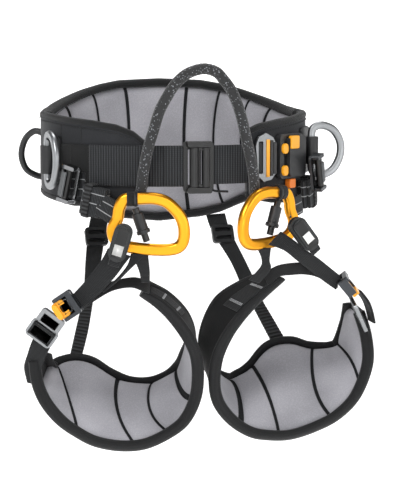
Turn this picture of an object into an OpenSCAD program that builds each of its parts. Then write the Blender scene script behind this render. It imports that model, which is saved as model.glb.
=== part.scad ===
// Arborist climbing saddle: wide padded waist belt, two padded leg loops, two gated
// attachment rings that carry a rope bridge, and two tilting side rings.
// +X is the viewer's right, +Y runs away from the viewer to the wearer's back, +Z is up.
// The origin is the centre of the waist, half way up the belt.

/* [Belt] */
// Half of the belt's width, hip to hip
belt_half_w = 144; // [143.5:0.5:144.5]
// Half of the belt's depth, front to back
belt_half_d = 112; // [111:0.5:113]
// Thickness of the stiff outer shell
shell_t = 3; // [2.5:0.1:3.5]
// Thickness of the inner padding
pad_t = 9; // [8:0.5:10]
// Height of the edge binding
binding_h = 9; // [7:0.5:10]
// Width of the waist webbing
webbing_w = 43; // [40:1:45]

/* [Hardware] */
// Radius of the bar of a gated ring
ring_bar_r = 6.3; // [5.8:0.1:6.5]
// Radius of the bar of a side ring
side_bar_r = 4.3; // [4:0.1:4.5]
// Radius of a gear loop's tube
gear_loop_r = 3.5; // [3.2:0.1:4]
// Radius of the rope bridge
rope_r = 5.8; // [5.5:0.1:6]
// Thickness of a webbing strap
strap_t = 2.4; // [2:0.1:2.6]

/* [Leg loops] */
// Thickness of the leg loop's black outer fabric
leg_shell_t = 3; // [2.5:0.1:3]
// Thickness of the leg loop's inner padding
leg_pad_t = 9; // [8:0.5:9]

/* [Hidden] */
gap = 0.4;
pad_clearance = 0.35;
black = "#26272a";
grey = "#8e9096";
silver = "#c4c6c8";
gold = "#eda31f";
yellow = "#f2c21a";

// Edge heights of the belt against the angle from the back's middle
top_edge = [[0, 88], [20, 86], [30, 82], [40, 76.5], [50, 70], [60, 64], [70, 58.5], [80, 56],
    [110, 53], [125, 50], [136, 48], [148, 44], [156, 37], [161, 27], [163, 18]];
bottom_edge = [[0, -80], [20, -75], [30, -69], [40, -59], [55, -46], [70, -39], [90, -36],
    [110, -40], [125, -44], [140, -42], [152, -37], [160, -28], [163, -18]];

// Edges of the straps and leg loops, as matching pairs of points
right_knee_edge = [[197, -78, -165], [205, -82, -193], [206, -85, -224], [192, -87, -259],
    [170, -88, -281], [144, -88, -294], [116, -88, -302], [92, -88, -302], [69, -88, -297],
    [47, -88, -282], [31, -90, -260], [26, -95, -235], [29, -102, -206], [41, -110, -179],
    [60, -115, -155], [82, -118, -134], [100, -118, -120]];
right_hip_edge = [[199, -20, -163], [200, 0, -189], [192, 5, -214], [182, 8, -219],
    [168, 8, -218], [152, 8, -215], [135, 8, -209], [112, 8, -213], [92, 5, -235],
    [77, 2, -246], [59, -5, -250], [35, -20, -235], [23, -40, -203], [23, -62, -171],
    [33, -80, -143], [54, -95, -125], [78, -106, -113]];
left_knee_edge = [[-168, -90, -206], [-165, -92, -230], [-156, -95, -252], [-140, -95, -273],
    [-121, -95, -288], [-101, -95, -299], [-74, -95, -305], [-47, -95, -304], [-22, -95, -294],
    [-2, -96, -279], [10, -98, -255], [13, -102, -230], [10, -106, -204], [0, -112, -182],
    [-17, -116, -159], [-34, -119, -143], [-52, -120, -132]];
left_hip_edge = [[-150, -45, -204], [-146, -25, -219], [-138, -5, -230], [-127, 0, -224],
    [-112, 2, -221], [-95, 4, -225], [-75, 4, -239], [-52, 4, -250], [-27, 4, -252],
    [-5, 2, -244], [7, -6, -230], [11, -25, -212], [13, -45, -196], [9, -62, -177],
    [-2, -80, -156], [-22, -95, -135], [-45, -108, -120]];

// Route of the rope bridge, from the left ring up and over to the right ring
rope_route = [[-54, -117, -33], [-53, -119, -20], [-51, -122, -2], [-47, -125, 20], [-42, -127, 37],
    [-36, -128, 57], [-30, -128, 69], [-22, -128, 82], [-14, -127, 91], [-4, -126, 98],
    [11, -125, 102], [24, -125, 99], [32, -126, 91], [40, -127, 80], [45, -128, 69],
    [51, -128, 51], [57, -127, 26], [62, -124, 7], [66, -119, -12], [68, -113, -29]];

// Closed centre line of a gated ring, in its own upright plane
gated_ring_line = [[28, 26], [14, 26.5], [0, 27], [-13, 24], [-23, 16], [-30, 6], [-33, -6],
    [-32, -17], [-27, -24], [-17, -26.6], [0, -26.5], [16, -25], [30, -22], [39, -15],
    [41, -5], [36, 6], [34, 17]];
left_ring_at = [-43.5, -130, -58];
left_ring_turn = 170;
right_ring_at = [79, -120, -55];
right_ring_turn = 32;

// Closed centre line of a side ring: the straight bar stands at zero
side_ring_line = [[0, -19], [0, 0], [0, 19], [4, 25.5], [13, 27], [24, 22], [31, 11], [32.5, 0],
    [30, -11], [23, -22], [12, -27], [4, -25.5]];

// ---- curves and lofts ----

function unit(v) = v / norm(v);

function catmull(a, b, c, d, t) =
    0.5 * (2 * b + (c - a) * t + (2 * a - 5 * b + 4 * c - d) * t * t
    + (3 * b - a - 3 * c + d) * t * t * t);

function pick(list, i, closed) =
    closed ? list[(i + len(list)) % len(list)] : list[max(0, min(len(list) - 1, i))];

// A smooth curve through every listed point
function smooth(list, steps, closed = false) =
    concat([for (i = [0 : len(list) - (closed ? 1 : 2)])
        for (s = [0 : steps - 1])
            catmull(pick(list, i - 1, closed), pick(list, i, closed),
                pick(list, i + 1, closed), pick(list, i + 2, closed), s / steps)],
        closed ? [] : [list[len(list) - 1]]);

function tangent(list, i, closed = false) =
    unit(pick(list, i + 1, closed) - pick(list, i - 1, closed));

// Skin over a row of rings that turn anticlockwise about the way forward. Turned splits
// each square along its other diagonal, so that two lofts back to back share one face.
module loft(rings, closed = false, turned = false) {
    n = len(rings[0]);
    m = len(rings);
    sides = [for (i = [0 : m - (closed ? 1 : 2)])
        for (j = [0 : n - 1])
            let(a = i * n + j, l = (j + 1) % n, b = (i + 1) % m * n + j,
                c = (i + 1) % m * n + l, d = i * n + l)
                each turned ? [[a, b, d], [b, c, d]] : [[a, b, c], [a, c, d]]];
    caps = closed ? [] : [[for (j = [0 : n - 1]) j],
        [for (j = [n - 1 : -1 : 0]) (m - 1) * n + j]];
    polyhedron([for (r = rings) for (p = r) p], concat(sides, caps), convexity = 10);
}

// Flat band between two edges, from offset o1 to offset o2 along its own normal
module ribbon(a, b, o1, o2, steps = 3, turned = false) {
    p = smooth(a, steps);
    q = smooth(b, steps);
    mid = (p + q) / 2;
    loft([for (i = [0 : len(p) - 1])
        let(n = unit(cross(tangent(mid, i), q[i] - p[i])))
            [p[i] + n * o1, q[i] + n * o1, q[i] + n * o2, p[i] + n * o2]], false, turned);
}

// Round tube along a route; ref is a direction that the route never follows
module tube(route, r, ref, steps = 2, closed = false, sides = 10) {
    p = smooth(route, steps, closed);
    loft([for (i = [0 : len(p) - 1])
        let(t = tangent(p, i, closed), u = unit(cross(t, ref)), v = cross(t, u))
            [for (s = [0 : sides - 1])
                p[i] + r * (cos(360 * s / sides) * u + sin(360 * s / sides) * v)]],
        closed);
}

// ---- the belt's own curve ----

function belt_normal(a) = unit([sin(a) / belt_half_w, cos(a) / belt_half_d, 0]);

function belt_point(a, z = 0, off = 0) =
    [belt_half_w * sin(a), belt_half_d * cos(a), z] + belt_normal(a) * off;

function top_z(a) = lookup(abs(a), top_edge);

function bottom_z(a) = lookup(abs(a), bottom_edge);

// Part of the belt between two angles, with the top and bottom cut back
module belt_band(a1, a2, steps, o1, o2, down = 0, up = 0) {
    loft([for (i = [0 : steps])
        let(a = a1 + (a2 - a1) * i / steps, zt = top_z(a) - down, zb = bottom_z(a) + up)
            [belt_point(a, zt, o1), belt_point(a, zb, o1), belt_point(a, zb, o2),
                belt_point(a, zt, o2)]]);
}

// Level strap on the belt's outer face
module belt_strap(a1, a2, steps, z, w, o1, o2) {
    loft([for (i = [0 : steps])
        let(a = a1 + (a2 - a1) * i / steps)
            [belt_point(a, z + w / 2, o1), belt_point(a, z - w / 2, o1),
                belt_point(a, z - w / 2, o2), belt_point(a, z + w / 2, o2)]]);
}

// Puts a piece on the belt: x runs to the viewer's right, y up and z outwards
module at_belt(a, z = 0, off = 0) {
    n = belt_normal(a);
    translate(belt_point(a, z, off))
        rotate([0, 0, atan2(n[0], -n[1])])
            rotate([90, 0, 0])
                children();
}

module plate(w, h, t, r) {
    translate([0, 0, t / 2])
        linear_extrude(t, center = true) {
            square([w - 2 * r, h], center = true);
            square([w, h - 2 * r], center = true);
            for (x = [-1, 1])
                for (y = [-1, 1])
                    translate([x * (w / 2 - r), y * (h / 2 - r)])
                        circle(r, $fn = 32);
        }
}

// ---- waist belt ----

belt_end = 92;
belt_steps = 40;
left_wing_end = 162;
right_wing_end = 154;
wing_steps = 24;
wing_in = -5;
wing_out = 4;
tape_t = 1;
under_binding = binding_h + 0.2;
webbing_off = wing_out + 0.3;

module belt_shell() {
    color(black)
        belt_band(-belt_end, belt_end, belt_steps, 0, shell_t, under_binding, under_binding);
}

module belt_padding() {
    color(grey)
        belt_band(-belt_end, belt_end, belt_steps, -pad_t, -pad_clearance, under_binding,
            under_binding);
}

// Folded tape: tops are its upper edge's heights along the belt
module edge_tape(tops) {
    inside = -pad_t - tape_t;
    outside = shell_t + tape_t;
    loft([for (i = [0 : belt_steps])
        let(a = belt_end * (2 * i / belt_steps - 1), z = tops[i])
            [belt_point(a, z, inside), belt_point(a, z - binding_h, inside),
                belt_point(a, z - binding_h, outside), belt_point(a, z, outside)]]);
}

module belt_binding() {
    angles = [for (i = [0 : belt_steps]) belt_end * (2 * i / belt_steps - 1)];
    color(black) {
        edge_tape([for (a = angles) top_z(a)]);
        edge_tape([for (a = angles) bottom_z(a) + binding_h]);
    }
}

module left_wing() {
    color(black)
        belt_band(-left_wing_end, -belt_end - gap, wing_steps, wing_in, wing_out);
}

module right_wing() {
    color(black)
        belt_band(belt_end + gap, right_wing_end, wing_steps, wing_in, wing_out);
}

module left_waist_webbing() {
    color(black)
        belt_strap(-176.6, -136, 16, 1, webbing_w, webbing_off, webbing_off + strap_t);
}

module right_waist_webbing() {
    color(black)
        belt_strap(153, 171.6, 10, 2, webbing_w - 3, webbing_off, webbing_off + strap_t);
}

// ---- waist buckle ----

waist_buckle_at = 177.4;

module waist_buckle_frame() {
    color(black)
        at_belt(waist_buckle_at, 0, 5)
            difference() {
                union() {
                    plate(32, 54, 4, 4);
                    for (y = [-1, 1])
                        translate([0, y * 24, 4])
                            plate(26, 6, 8, 2);
                }
                for (x = [-7, 7])
                    translate([x, 0, -1])
                        plate(9, 37, 6, 1);
            }
}

// Two rollers joined by a plate at each end: the webbing doubles back round them
module waist_buckle_bar() {
    color(black)
        at_belt(waist_buckle_at, 0, 5)
            rotate([90, 0, 0]) {
                translate([-6, 9.2, 0])
                    cylinder(r = 4.8, h = 41, center = true, $fn = 48);
                translate([6.5, 8.8, 0])
                    cylinder(r = 4.4, h = 41, center = true, $fn = 48);
                for (z = [-19, 19])
                    translate([0, 9, z])
                        cube([12, 4, 3], center = true);
            }
}

module waist_pull_cord() {
    color(black)
        tube([[19, -120, -23], [24, -122, -25], [30, -122, -25.5], [38, -121, -26]], 1.2,
            [0, 0, 1], 2, false, 8);
}

// ---- automatic buckle on the hip ----

hip_tongue_at = 146;
hip_body_at = 131;
hip_body_z = 9;

module hip_tongue_plate() {
    color(silver)
        at_belt(hip_tongue_at, 8, 6)
            difference() {
                linear_extrude(3)
                    polygon([[-16, 12], [-12, 22], [-2, 26], [8, 21], [13, 12], [13, -16],
                        [6, -24], [-5, -26], [-12, -20]]);
                translate([-9, 0, -1])
                    plate(6, 34, 5, 1);
            }
}

// A low step on the left carries the two oval buttons
module hip_buckle_body() {
    color("#4a4c50")
        at_belt(hip_body_at, hip_body_z, webbing_off)
            difference() {
                union() {
                    translate([0, -1, 0])
                        plate(42, 48, 6, 5);
                    translate([5.5, -1, 6])
                        plate(30, 44, 4.5, 5);
                }
                translate([-1, 14, 4])
                    plate(15 + 2 * gap, 14 + 2 * gap, 10, 2);
                for (y = [-16, 7.5])
                    translate([-14.5, y, 0.5])
                        plate(9 + 2 * gap, 11 + 2 * gap, 14, 4);
            }
}

module hip_button(x, y, z, w, h, r) {
    at_belt(hip_body_at, hip_body_z, webbing_off)
        translate([x, y, z])
            plate(w, h, 3.6 + r / 2, r);
}

module hip_square_button() {
    color(yellow)
        hip_button(-1, 14, 7.5, 15, 14, 2);
}

module hip_upper_button() {
    color(yellow)
        hip_button(-14.5, 7.5, 3.8, 9, 11, 4);
}

module hip_lower_button() {
    color(yellow)
        hip_button(-14.5, -16, 3.8, 9, 11, 4);
}

module hip_release_tab() {
    color("#d8701c")
        at_belt(hip_body_at, hip_body_z, webbing_off)
            translate([0, -30.6, 1])
                plate(11, 10, 7, 2);
}

// ---- side rings ----

bracket_angle = 113;
bracket_off = wing_out + gap;
side_bar_out = 14;

// The left one sits a little lower
function bracket_z(side) = side > 0 ? 12 : 5;

module ring_bracket(side) {
    bar_height = side_bar_out - bracket_off;
    color(black)
        at_belt(side * bracket_angle, bracket_z(side), bracket_off)
            difference() {
                union() {
                    plate(26, 50, 3, 4);
                    translate([0, 0, bar_height])
                        rotate([90, 0, 0])
                            cylinder(r = 7.5, h = 30, center = true, $fn = 48);
                    translate([0, 0, 4])
                        cube([11, 30, 6], center = true);
                }
                translate([0, 0, bar_height])
                    rotate([90, 0, 0])
                        cylinder(r = side_bar_r + 0.5, h = 40, center = true, $fn = 48);
            }
}

// out is the direction in which the bow points, turned about the bar
module side_ring(side, out) {
    color(silver)
        translate(belt_point(side * bracket_angle, bracket_z(side), side_bar_out))
            rotate([0, 0, out])
                tube([for (p = side_ring_line) [p[0], 0, p[1]]], side_bar_r, [0, 1, 0],
                    3, true, 12);
}

module left_ring_bracket() {
    ring_bracket(-1);
}

module right_ring_bracket() {
    ring_bracket(1);
}

module left_side_ring() {
    side_ring(-1, 282);
}

module right_side_ring() {
    side_ring(1, -4);
}

// ---- gear loops ----

gear_loop_line = [[146, 10, 31], [154, 13, 32], [163, 21, 23], [167, 27, 6], [162, 33, -10],
    [151, 36, -18], [138, 36, -21]];
rear_loop_line = [[116, 68, 28], [129, 72, 24], [136, 75, 8], [131, 78, -8], [106, 80, -20]];

module left_gear_loop() {
    color(black)
        mirror([1, 0, 0])
            tube(gear_loop_line, gear_loop_r, [0, 1, 0], 3);
}

module right_gear_loop() {
    color(black)
        tube(gear_loop_line, gear_loop_r, [0, 1, 0], 3);
}

module rear_gear_loops() {
    color(black) {
        tube(rear_loop_line, gear_loop_r, [0, 1, 0], 3);
        mirror([1, 0, 0])
            tube(rear_loop_line, gear_loop_r, [0, 1, 0], 3);
    }
}

// ---- side adjusters and straps ----

adjuster_half = 20;

// Turned to lean with its strap. The right one stands further out, in front of its ring.
module at_adjuster(side) {
    at_belt(side > 0 ? 119.5 : -128, side > 0 ? -11 : -19, side > 0 ? 21.6 : 12)
        rotate([0, 0, side * 14])
            children();
}

module adjuster_frame(side) {
    color(silver)
        at_adjuster(side)
            difference() {
                union() {
                    plate(20, 2 * adjuster_half, 3, 3);
                    for (y = [-1, 1])
                        translate([0, y * (adjuster_half - 2), 3])
                            plate(16, 4, 8, 1.5);
                }
                translate([0, 0, -1])
                    plate(12, 31, 20, 1);
            }
}

module adjuster_bar(side) {
    color(black)
        at_adjuster(side)
            translate([0, 0, 7.2])
                rotate([90, 0, 0])
                    cylinder(r = 3.8, h = 31, center = true, $fn = 48);
}

module left_adjuster_frame() {
    adjuster_frame(-1);
}

module right_adjuster_frame() {
    adjuster_frame(1);
}

module left_adjuster_bar() {
    adjuster_bar(-1);
}

module right_adjuster_bar() {
    adjuster_bar(1);
}

// Strap from the belt to its adjuster, and on from the bundle to the gated ring
module left_side_strap() {
    color(black) {
        belt_strap(-134, -121, 4, -20, 26, webbing_off, webbing_off + strap_t);
        ribbon([[-93, -107, -27], [-83, -113, -32], [-74, -119, -38]],
            [[-97, -107, -50], [-89, -113, -56], [-81, -119, -61]], -strap_t, 0);
    }
}

module right_side_strap() {
    color(black) {
        belt_strap(102, 111, 4, -28, 20, webbing_off, webbing_off + strap_t);
        ribbon([[121, -90, -34], [115, -96, -35], [109, -101, -36]],
            [[124, -90, -53], [119, -96, -55], [113, -101, -56]], 0, strap_t);
    }
}

// The spare strap is folded four times and held by an elastic loop. The left one lies
// over the waist webbing.
module at_bundle(side) {
    at_belt(side > 0 ? 117.5 : -140, side > 0 ? -34 : -36, side > 0 ? 4.6 : 7.4)
        rotate([0, 0, side * 12])
            children();
}

module strap_bundle(side) {
    fold = 3.7;
    color(black)
        at_bundle(side)
            for (i = [0 : 3])
                translate([-side * i * 0.8, 0, i * fold])
                    plate((side > 0 ? 20 : 26) - i, 36 - 2 * i, fold - 0.3, 4);
}

module bundle_elastic(side) {
    color(black)
        at_bundle(side)
            translate([side * 5, 0, -0.5])
                difference() {
                    plate(7, 40, 16.8, 2);
                    translate([0, 0, -1])
                        plate(9, 37, 16.2, 1);
                }
}

module left_strap_bundle() {
    strap_bundle(-1);
}

module right_strap_bundle() {
    strap_bundle(1);
}

module left_bundle_elastic() {
    bundle_elastic(-1);
}

module right_bundle_elastic() {
    bundle_elastic(1);
}

// ---- gated rings ----

gate_top = [20, 24];
gate_foot = [5, -20];
gate_r = 3.6;
gate_lean = atan2(gate_top[0] - gate_foot[0], gate_top[1] - gate_foot[1]);
gate_len = norm(gate_top - gate_foot);
gate_end = 2.2;

module at_ring(at, turn) {
    translate(at)
        rotate([0, 0, turn])
            rotate([90, 0, 0])
                children();
}

module gated_ring(at, turn) {
    color(gold)
        at_ring(at, turn)
            tube([for (p = gated_ring_line) [p[0], p[1], 0]], ring_bar_r, [0, 0, 1], 3, true, 12);
}

// Gate: a rod that closes the mouth, hinged at its top end in a collar round the bar
module gate(at, turn) {
    color(black)
        at_ring(at, turn)
            translate([gate_foot[0], gate_foot[1], 0])
                rotate([0, 0, -gate_lean])
                    rotate([-90, 0, 0])
                        translate([0, 0, gate_end])
                            cylinder(r = gate_r, h = gate_len - 2 * gate_end - 5.5, $fn = 48);
}

module gate_sleeve(at, turn) {
    color(black)
        at_ring(at, turn)
            translate([gate_foot[0], gate_foot[1], 0])
                rotate([0, 0, -gate_lean])
                    rotate([-90, 0, 0])
                        difference() {
                            union() {
                                translate([0, 0, 13])
                                    cylinder(r = 6, h = 20, $fn = 48);
                                translate([0, 0, 11])
                                    cylinder(r = 7.2, h = 4, $fn = 48);
                            }
                            translate([0, 0, 5])
                                cylinder(r = gate_r + 0.3, h = 40, $fn = 48);
                        }
}

module left_gated_ring() {
    gated_ring(left_ring_at, left_ring_turn);
}

module right_gated_ring() {
    gated_ring(right_ring_at, right_ring_turn);
}

module left_gate() {
    gate(left_ring_at, left_ring_turn);
}

module right_gate() {
    gate(right_ring_at, right_ring_turn);
}

module left_gate_sleeve() {
    gate_sleeve(left_ring_at, left_ring_turn);
}

module right_gate_sleeve() {
    gate_sleeve(right_ring_at, right_ring_turn);
}

module bridge_rope() {
    color("#2b2c2e")
        tube(rope_route, rope_r, [0, 1, 0], 2);
}

// Moulded capsule that holds a strap's spare end
module strap_keeper(at, lean, turn) {
    color("#313337")
        translate(at)
            rotate([0, 0, turn])
                rotate([90, 0, 0])
                    rotate([0, 0, lean])
                        difference() {
                            union() {
                                plate(19, 40, 8, 9);
                                translate([0, 0, 8])
                                    plate(15, 35, 3, 7);
                            }
                            translate([0, 0, 3.5])
                                cube([12, 60, 3], center = true);
                        }
}

module left_strap_keeper() {
    strap_keeper([-78, -140, -75], -17, -10);
}

module right_strap_keeper() {
    strap_keeper([114, -136, -70], 38, 12);
}

// ---- rear risers ----

module left_riser_strap() {
    color(black)
        ribbon([[-82, 98, -72], [-88, 78, -88], [-93, 60, -118], [-97, 44, -151], [-100, 38, -163]],
            [[-60, 104, -73], [-67, 80, -90], [-75, 60, -119], [-83, 44, -151], [-87, 38, -163]],
            -strap_t, 0);
}

module right_riser_strap() {
    color(black)
        ribbon([[55, 104, -75], [60, 88, -92], [78, 66, -125], [89, 46, -156], [95, 38, -168]],
            [[77, 98, -73], [81, 86, -90], [95, 66, -123], [106, 46, -152], [110, 38, -166]],
            -strap_t, 0);
}

module ladder_lock(at, lean) {
    color(black)
        translate(at)
            rotate([0, 0, 6])
                rotate([62, 0, 0])
                    rotate([0, 0, lean])
                        difference() {
                            plate(26, 22, 5, 4);
                            for (y = [-5, 5])
                                translate([0, y, -1])
                                    plate(19, 5, 8, 1);
                        }
}

module left_ladder_lock() {
    ladder_lock([-79.5, 73, -94], 0);
}

module right_ladder_lock() {
    ladder_lock([71, 84, -95], 0);
}

module left_riser_elastic() {
    color(black)
        ribbon([[-100.5, 37, -165], [-109, 20, -192], [-114, 10, -206]],
            [[-87.5, 37, -165], [-95, 20, -195], [-101, 10, -209]], -3, 0);
}

module right_riser_elastic() {
    color(black)
        ribbon([[96, 37, -170], [105, 22, -190], [110, 14, -199]],
            [[110, 37, -168], [120, 22, -187], [126, 14, -196]], -3, 0);
}

// ---- leg loops ----

module left_leg_shell() {
    color(black)
        ribbon(left_knee_edge, left_hip_edge, -leg_shell_t, 0);
}

module left_leg_padding() {
    color(grey)
        ribbon(left_knee_edge, left_hip_edge, pad_clearance, leg_pad_t, turned = true);
}

module right_leg_shell() {
    color(black)
        ribbon(right_knee_edge, right_hip_edge, 0, leg_shell_t);
}

module right_leg_padding() {
    color(grey)
        ribbon(right_knee_edge, right_hip_edge, -leg_pad_t, -pad_clearance, turned = true);
}

// Webbing over the top of the loop, the two straps up to the ring and the tail to the buckle
module left_leg_straps() {
    color(black) {
        ribbon([[-51, -127, -129], [-65, -125, -124], [-84, -124, -127], [-100, -122, -136],
            [-110, -120, -143]],
            [[-51, -119, -116], [-63, -118, -114], [-82, -119, -117], [-103, -119, -125],
            [-116, -117, -130]], 0, strap_t);
        ribbon([[-68, -130, -97], [-80, -129, -111], [-95, -126, -127], [-110, -122, -141]],
            [[-91, -131, -87], [-100, -129, -100], [-110, -126, -114], [-122, -121, -127]],
            0, strap_t);
        ribbon([[-65, -128, -93], [-59, -127, -104], [-55, -126, -115]],
            [[-48, -128, -93], [-47, -127, -104], [-46, -126, -115]], 0, strap_t);
        ribbon([[-140, -106, -172], [-148, -102, -188], [-155, -97, -206]],
            [[-158, -98, -166], [-167, -92, -184], [-172, -84, -204]], 0, strap_t);
    }
}

module right_leg_straps() {
    color(black) {
        ribbon([[86, -119, -124], [94, -121, -117], [107, -122, -116], [122, -121, -116],
            [137, -117, -120], [153, -111, -127]],
            [[79, -119, -113], [91, -121, -106], [105, -122, -103], [122, -121, -103],
            [138, -117, -107], [151, -111, -113]], -strap_t, 0);
        ribbon([[93, -129, -70], [105, -131, -77], [119, -129, -88], [135, -123, -99],
            [150, -116, -110]],
            [[81, -128, -84], [96, -130, -88], [109, -128, -97], [123, -124, -108],
            [137, -119, -118]], -strap_t, 0);
        ribbon([[69, -129, -91], [74, -126, -98], [72, -126, -106], [62, -124, -118]],
            [[83, -129, -91], [82, -126, -100], [83, -127, -109], [73, -122, -122]],
            -strap_t, 0);
        ribbon([[195, -96, -146], [204, -92, -158], [209, -88, -174]],
            [[195, -72, -146], [204, -68, -156], [209, -64, -172]], -strap_t, 0);
    }
}

frame_turn = 20;

// Puts a piece at a leg buckle: x runs down the strap and z points out of the leg
module at_left_buckle() {
    translate([-131, -121, -141.5])
        rotate([0, 0, -14])
            rotate([90, 0, 0])
                rotate([0, 0, 214])
                    children();
}

module at_right_buckle() {
    translate([167, -107, -133])
        rotate([0, 50, 0])
            rotate([14, 0, 0])
                children();
}

// Base plate with two cheeks, and a bridge that the strap comes under
module leg_buckle() {
    color(silver)
        difference() {
            union() {
                plate(23, 27, 3, 3);
                for (y = [-1, 1])
                    translate([0, y * 11.7, 3])
                        plate(20, 3.6, 7, 1.5);
                translate([-8, 0, 3])
                    plate(6, 25, 9, 2);
            }
            translate([-8, 0, 3.4])
                plate(12, 18, 4, 1);
        }
}

// Forked lever: two prongs point up the strap from a broad heel
module leg_lever() {
    color(yellow)
        translate([7.5, 0, 3.8])
            difference() {
                union() {
                    plate(14, 18.8, 4, 3);
                    translate([4, 0, 4])
                        plate(6, 16, 3, 2.5);
                }
                translate([-4, 0, -1])
                    plate(8, 8, 12, 2);
            }
}

// Open frame beyond the buckle. It hangs a little lower than the strap's own line.
module leg_frame() {
    color(silver)
        translate([14.6, 0, 0])
            rotate([0, 16, frame_turn])
                translate([22, 0, -2])
                    difference() {
                        union() {
                            plate(38, 28, 4, 4);
                            translate([8, 0, 0])
                                plate(22, 32, 4, 5);
                        }
                        translate([-9, 0, -1])
                            plate(10, 19, 8, 2);
                        translate([7, 0, -1])
                            plate(12, 24, 8, 3);
                    }
}

module left_leg_buckle() {
    at_left_buckle()
        leg_buckle();
}

module left_leg_lever() {
    at_left_buckle()
        leg_lever();
}

module left_leg_frame() {
    at_left_buckle()
        leg_frame();
}

module right_leg_buckle() {
    at_right_buckle()
        leg_buckle();
}

module right_leg_lever() {
    at_right_buckle()
        leg_lever();
}

module right_leg_frame() {
    at_right_buckle()
        leg_frame();
}

belt_shell();
belt_padding();
belt_binding();
left_wing();
right_wing();
left_waist_webbing();
right_waist_webbing();
waist_buckle_frame();
waist_buckle_bar();
waist_pull_cord();
hip_tongue_plate();
hip_buckle_body();
hip_square_button();
hip_upper_button();
hip_lower_button();
hip_release_tab();
left_ring_bracket();
right_ring_bracket();
left_side_ring();
right_side_ring();
left_gear_loop();
right_gear_loop();
rear_gear_loops();
left_adjuster_frame();
right_adjuster_frame();
left_adjuster_bar();
right_adjuster_bar();
left_side_strap();
right_side_strap();
left_strap_bundle();
right_strap_bundle();
left_bundle_elastic();
right_bundle_elastic();
left_gated_ring();
right_gated_ring();
left_gate();
right_gate();
left_gate_sleeve();
right_gate_sleeve();
bridge_rope();
left_strap_keeper();
right_strap_keeper();
left_riser_strap();
right_riser_strap();
left_ladder_lock();
right_ladder_lock();
left_riser_elastic();
right_riser_elastic();
left_leg_shell();
left_leg_padding();
left_leg_straps();
left_leg_buckle();
left_leg_frame();
left_leg_lever();
right_leg_shell();
right_leg_padding();
right_leg_straps();
right_leg_buckle();
right_leg_frame();
right_leg_lever();
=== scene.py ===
# %% [markdown]
# # A tree climbing saddle
# This saddle is a wide padded belt with two padded leg loops under it. Two gold gated rings
# at the front carry a rope bridge, and everything is joined with sewn webbing.
# The CAD model already holds every size, joint and place. This file adds the looks:
# fabric, stitching, braid and metal finishes, built around that fixed frame.

# %% Load the frame
import math

import bmesh
import bpy
from mathutils import Matrix, Vector


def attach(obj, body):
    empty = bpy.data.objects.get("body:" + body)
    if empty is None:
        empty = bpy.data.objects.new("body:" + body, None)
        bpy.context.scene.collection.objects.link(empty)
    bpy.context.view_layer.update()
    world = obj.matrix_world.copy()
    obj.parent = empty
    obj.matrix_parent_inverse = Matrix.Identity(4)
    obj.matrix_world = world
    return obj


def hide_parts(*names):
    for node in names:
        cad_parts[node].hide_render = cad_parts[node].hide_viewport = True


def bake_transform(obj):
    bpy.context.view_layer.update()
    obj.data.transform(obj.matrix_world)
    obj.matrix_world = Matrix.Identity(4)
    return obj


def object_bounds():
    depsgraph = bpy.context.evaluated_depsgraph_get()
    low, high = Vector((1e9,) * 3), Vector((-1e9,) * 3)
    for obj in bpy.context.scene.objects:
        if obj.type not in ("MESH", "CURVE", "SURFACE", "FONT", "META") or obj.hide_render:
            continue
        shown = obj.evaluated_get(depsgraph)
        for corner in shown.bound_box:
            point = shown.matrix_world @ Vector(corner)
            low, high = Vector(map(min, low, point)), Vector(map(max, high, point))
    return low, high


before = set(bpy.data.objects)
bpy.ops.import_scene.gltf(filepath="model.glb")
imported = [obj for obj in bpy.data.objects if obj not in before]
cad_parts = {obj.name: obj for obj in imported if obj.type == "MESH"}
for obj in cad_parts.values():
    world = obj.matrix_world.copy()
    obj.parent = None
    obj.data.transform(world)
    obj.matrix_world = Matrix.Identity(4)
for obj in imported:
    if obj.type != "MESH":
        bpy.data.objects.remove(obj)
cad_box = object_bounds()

MM = 0.001

# %% [markdown]
# ## Camera, floor and light
# The camera comes first, because it decides which details can be seen. A long lens keeps the
# belt's ellipse gentle, and the view is a little above and to one side of the front. The light
# is a soft studio set: a large key lamp, a weaker fill, a top and a front lamp, a dim world and
# a pale floor that glows a little, so that the ground under the saddle stays clean.

# %% Camera
VIEW_AZIMUTH = math.radians(-10)
VIEW_ELEVATION = math.radians(7)
VIEW_DISTANCE = 1.867
FRAME_HEIGHT = 0.560
SENSOR = 36.0
aim = Vector((0.0287, -0.0051, -0.1015))
forward = Vector((-math.sin(VIEW_AZIMUTH) * math.cos(VIEW_ELEVATION),
                  math.cos(VIEW_AZIMUTH) * math.cos(VIEW_ELEVATION),
                  -math.sin(VIEW_ELEVATION)))
camera_data = bpy.data.cameras.new("camera")
camera_data.lens = SENSOR * VIEW_DISTANCE / FRAME_HEIGHT
camera_data.sensor_width = SENSOR
camera = bpy.data.objects.new("camera", camera_data)
camera.location = aim - forward * VIEW_DISTANCE
camera.rotation_euler = forward.to_track_quat("-Z", "Y").to_euler()
bpy.context.scene.collection.objects.link(camera)
bpy.context.scene.camera = camera
print("lens:", round(camera_data.lens, 1), "mm")


# %% Colours and a node helper
def linear(hex_colour):
    """Turns an sRGB hex colour into the linear RGBA that Blender's shaders take."""
    channels = [int(hex_colour[i:i + 2], 16) / 255 for i in (1, 3, 5)]
    return [c / 12.92 if c <= 0.04045 else ((c + 0.055) / 1.055) ** 2.4 for c in channels] + [1.0]


def add_node(tree, kind, inputs=None, **settings):
    """Adds one node. An input is a value, or another node's output socket to link."""
    node = tree.nodes.new(kind)
    for key, value in settings.items():
        setattr(node, key, value)
    for key, value in (inputs or {}).items():
        if isinstance(value, bpy.types.NodeSocket):
            tree.links.new(value, node.inputs[key])
        else:
            node.inputs[key].default_value = value
    return node


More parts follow.
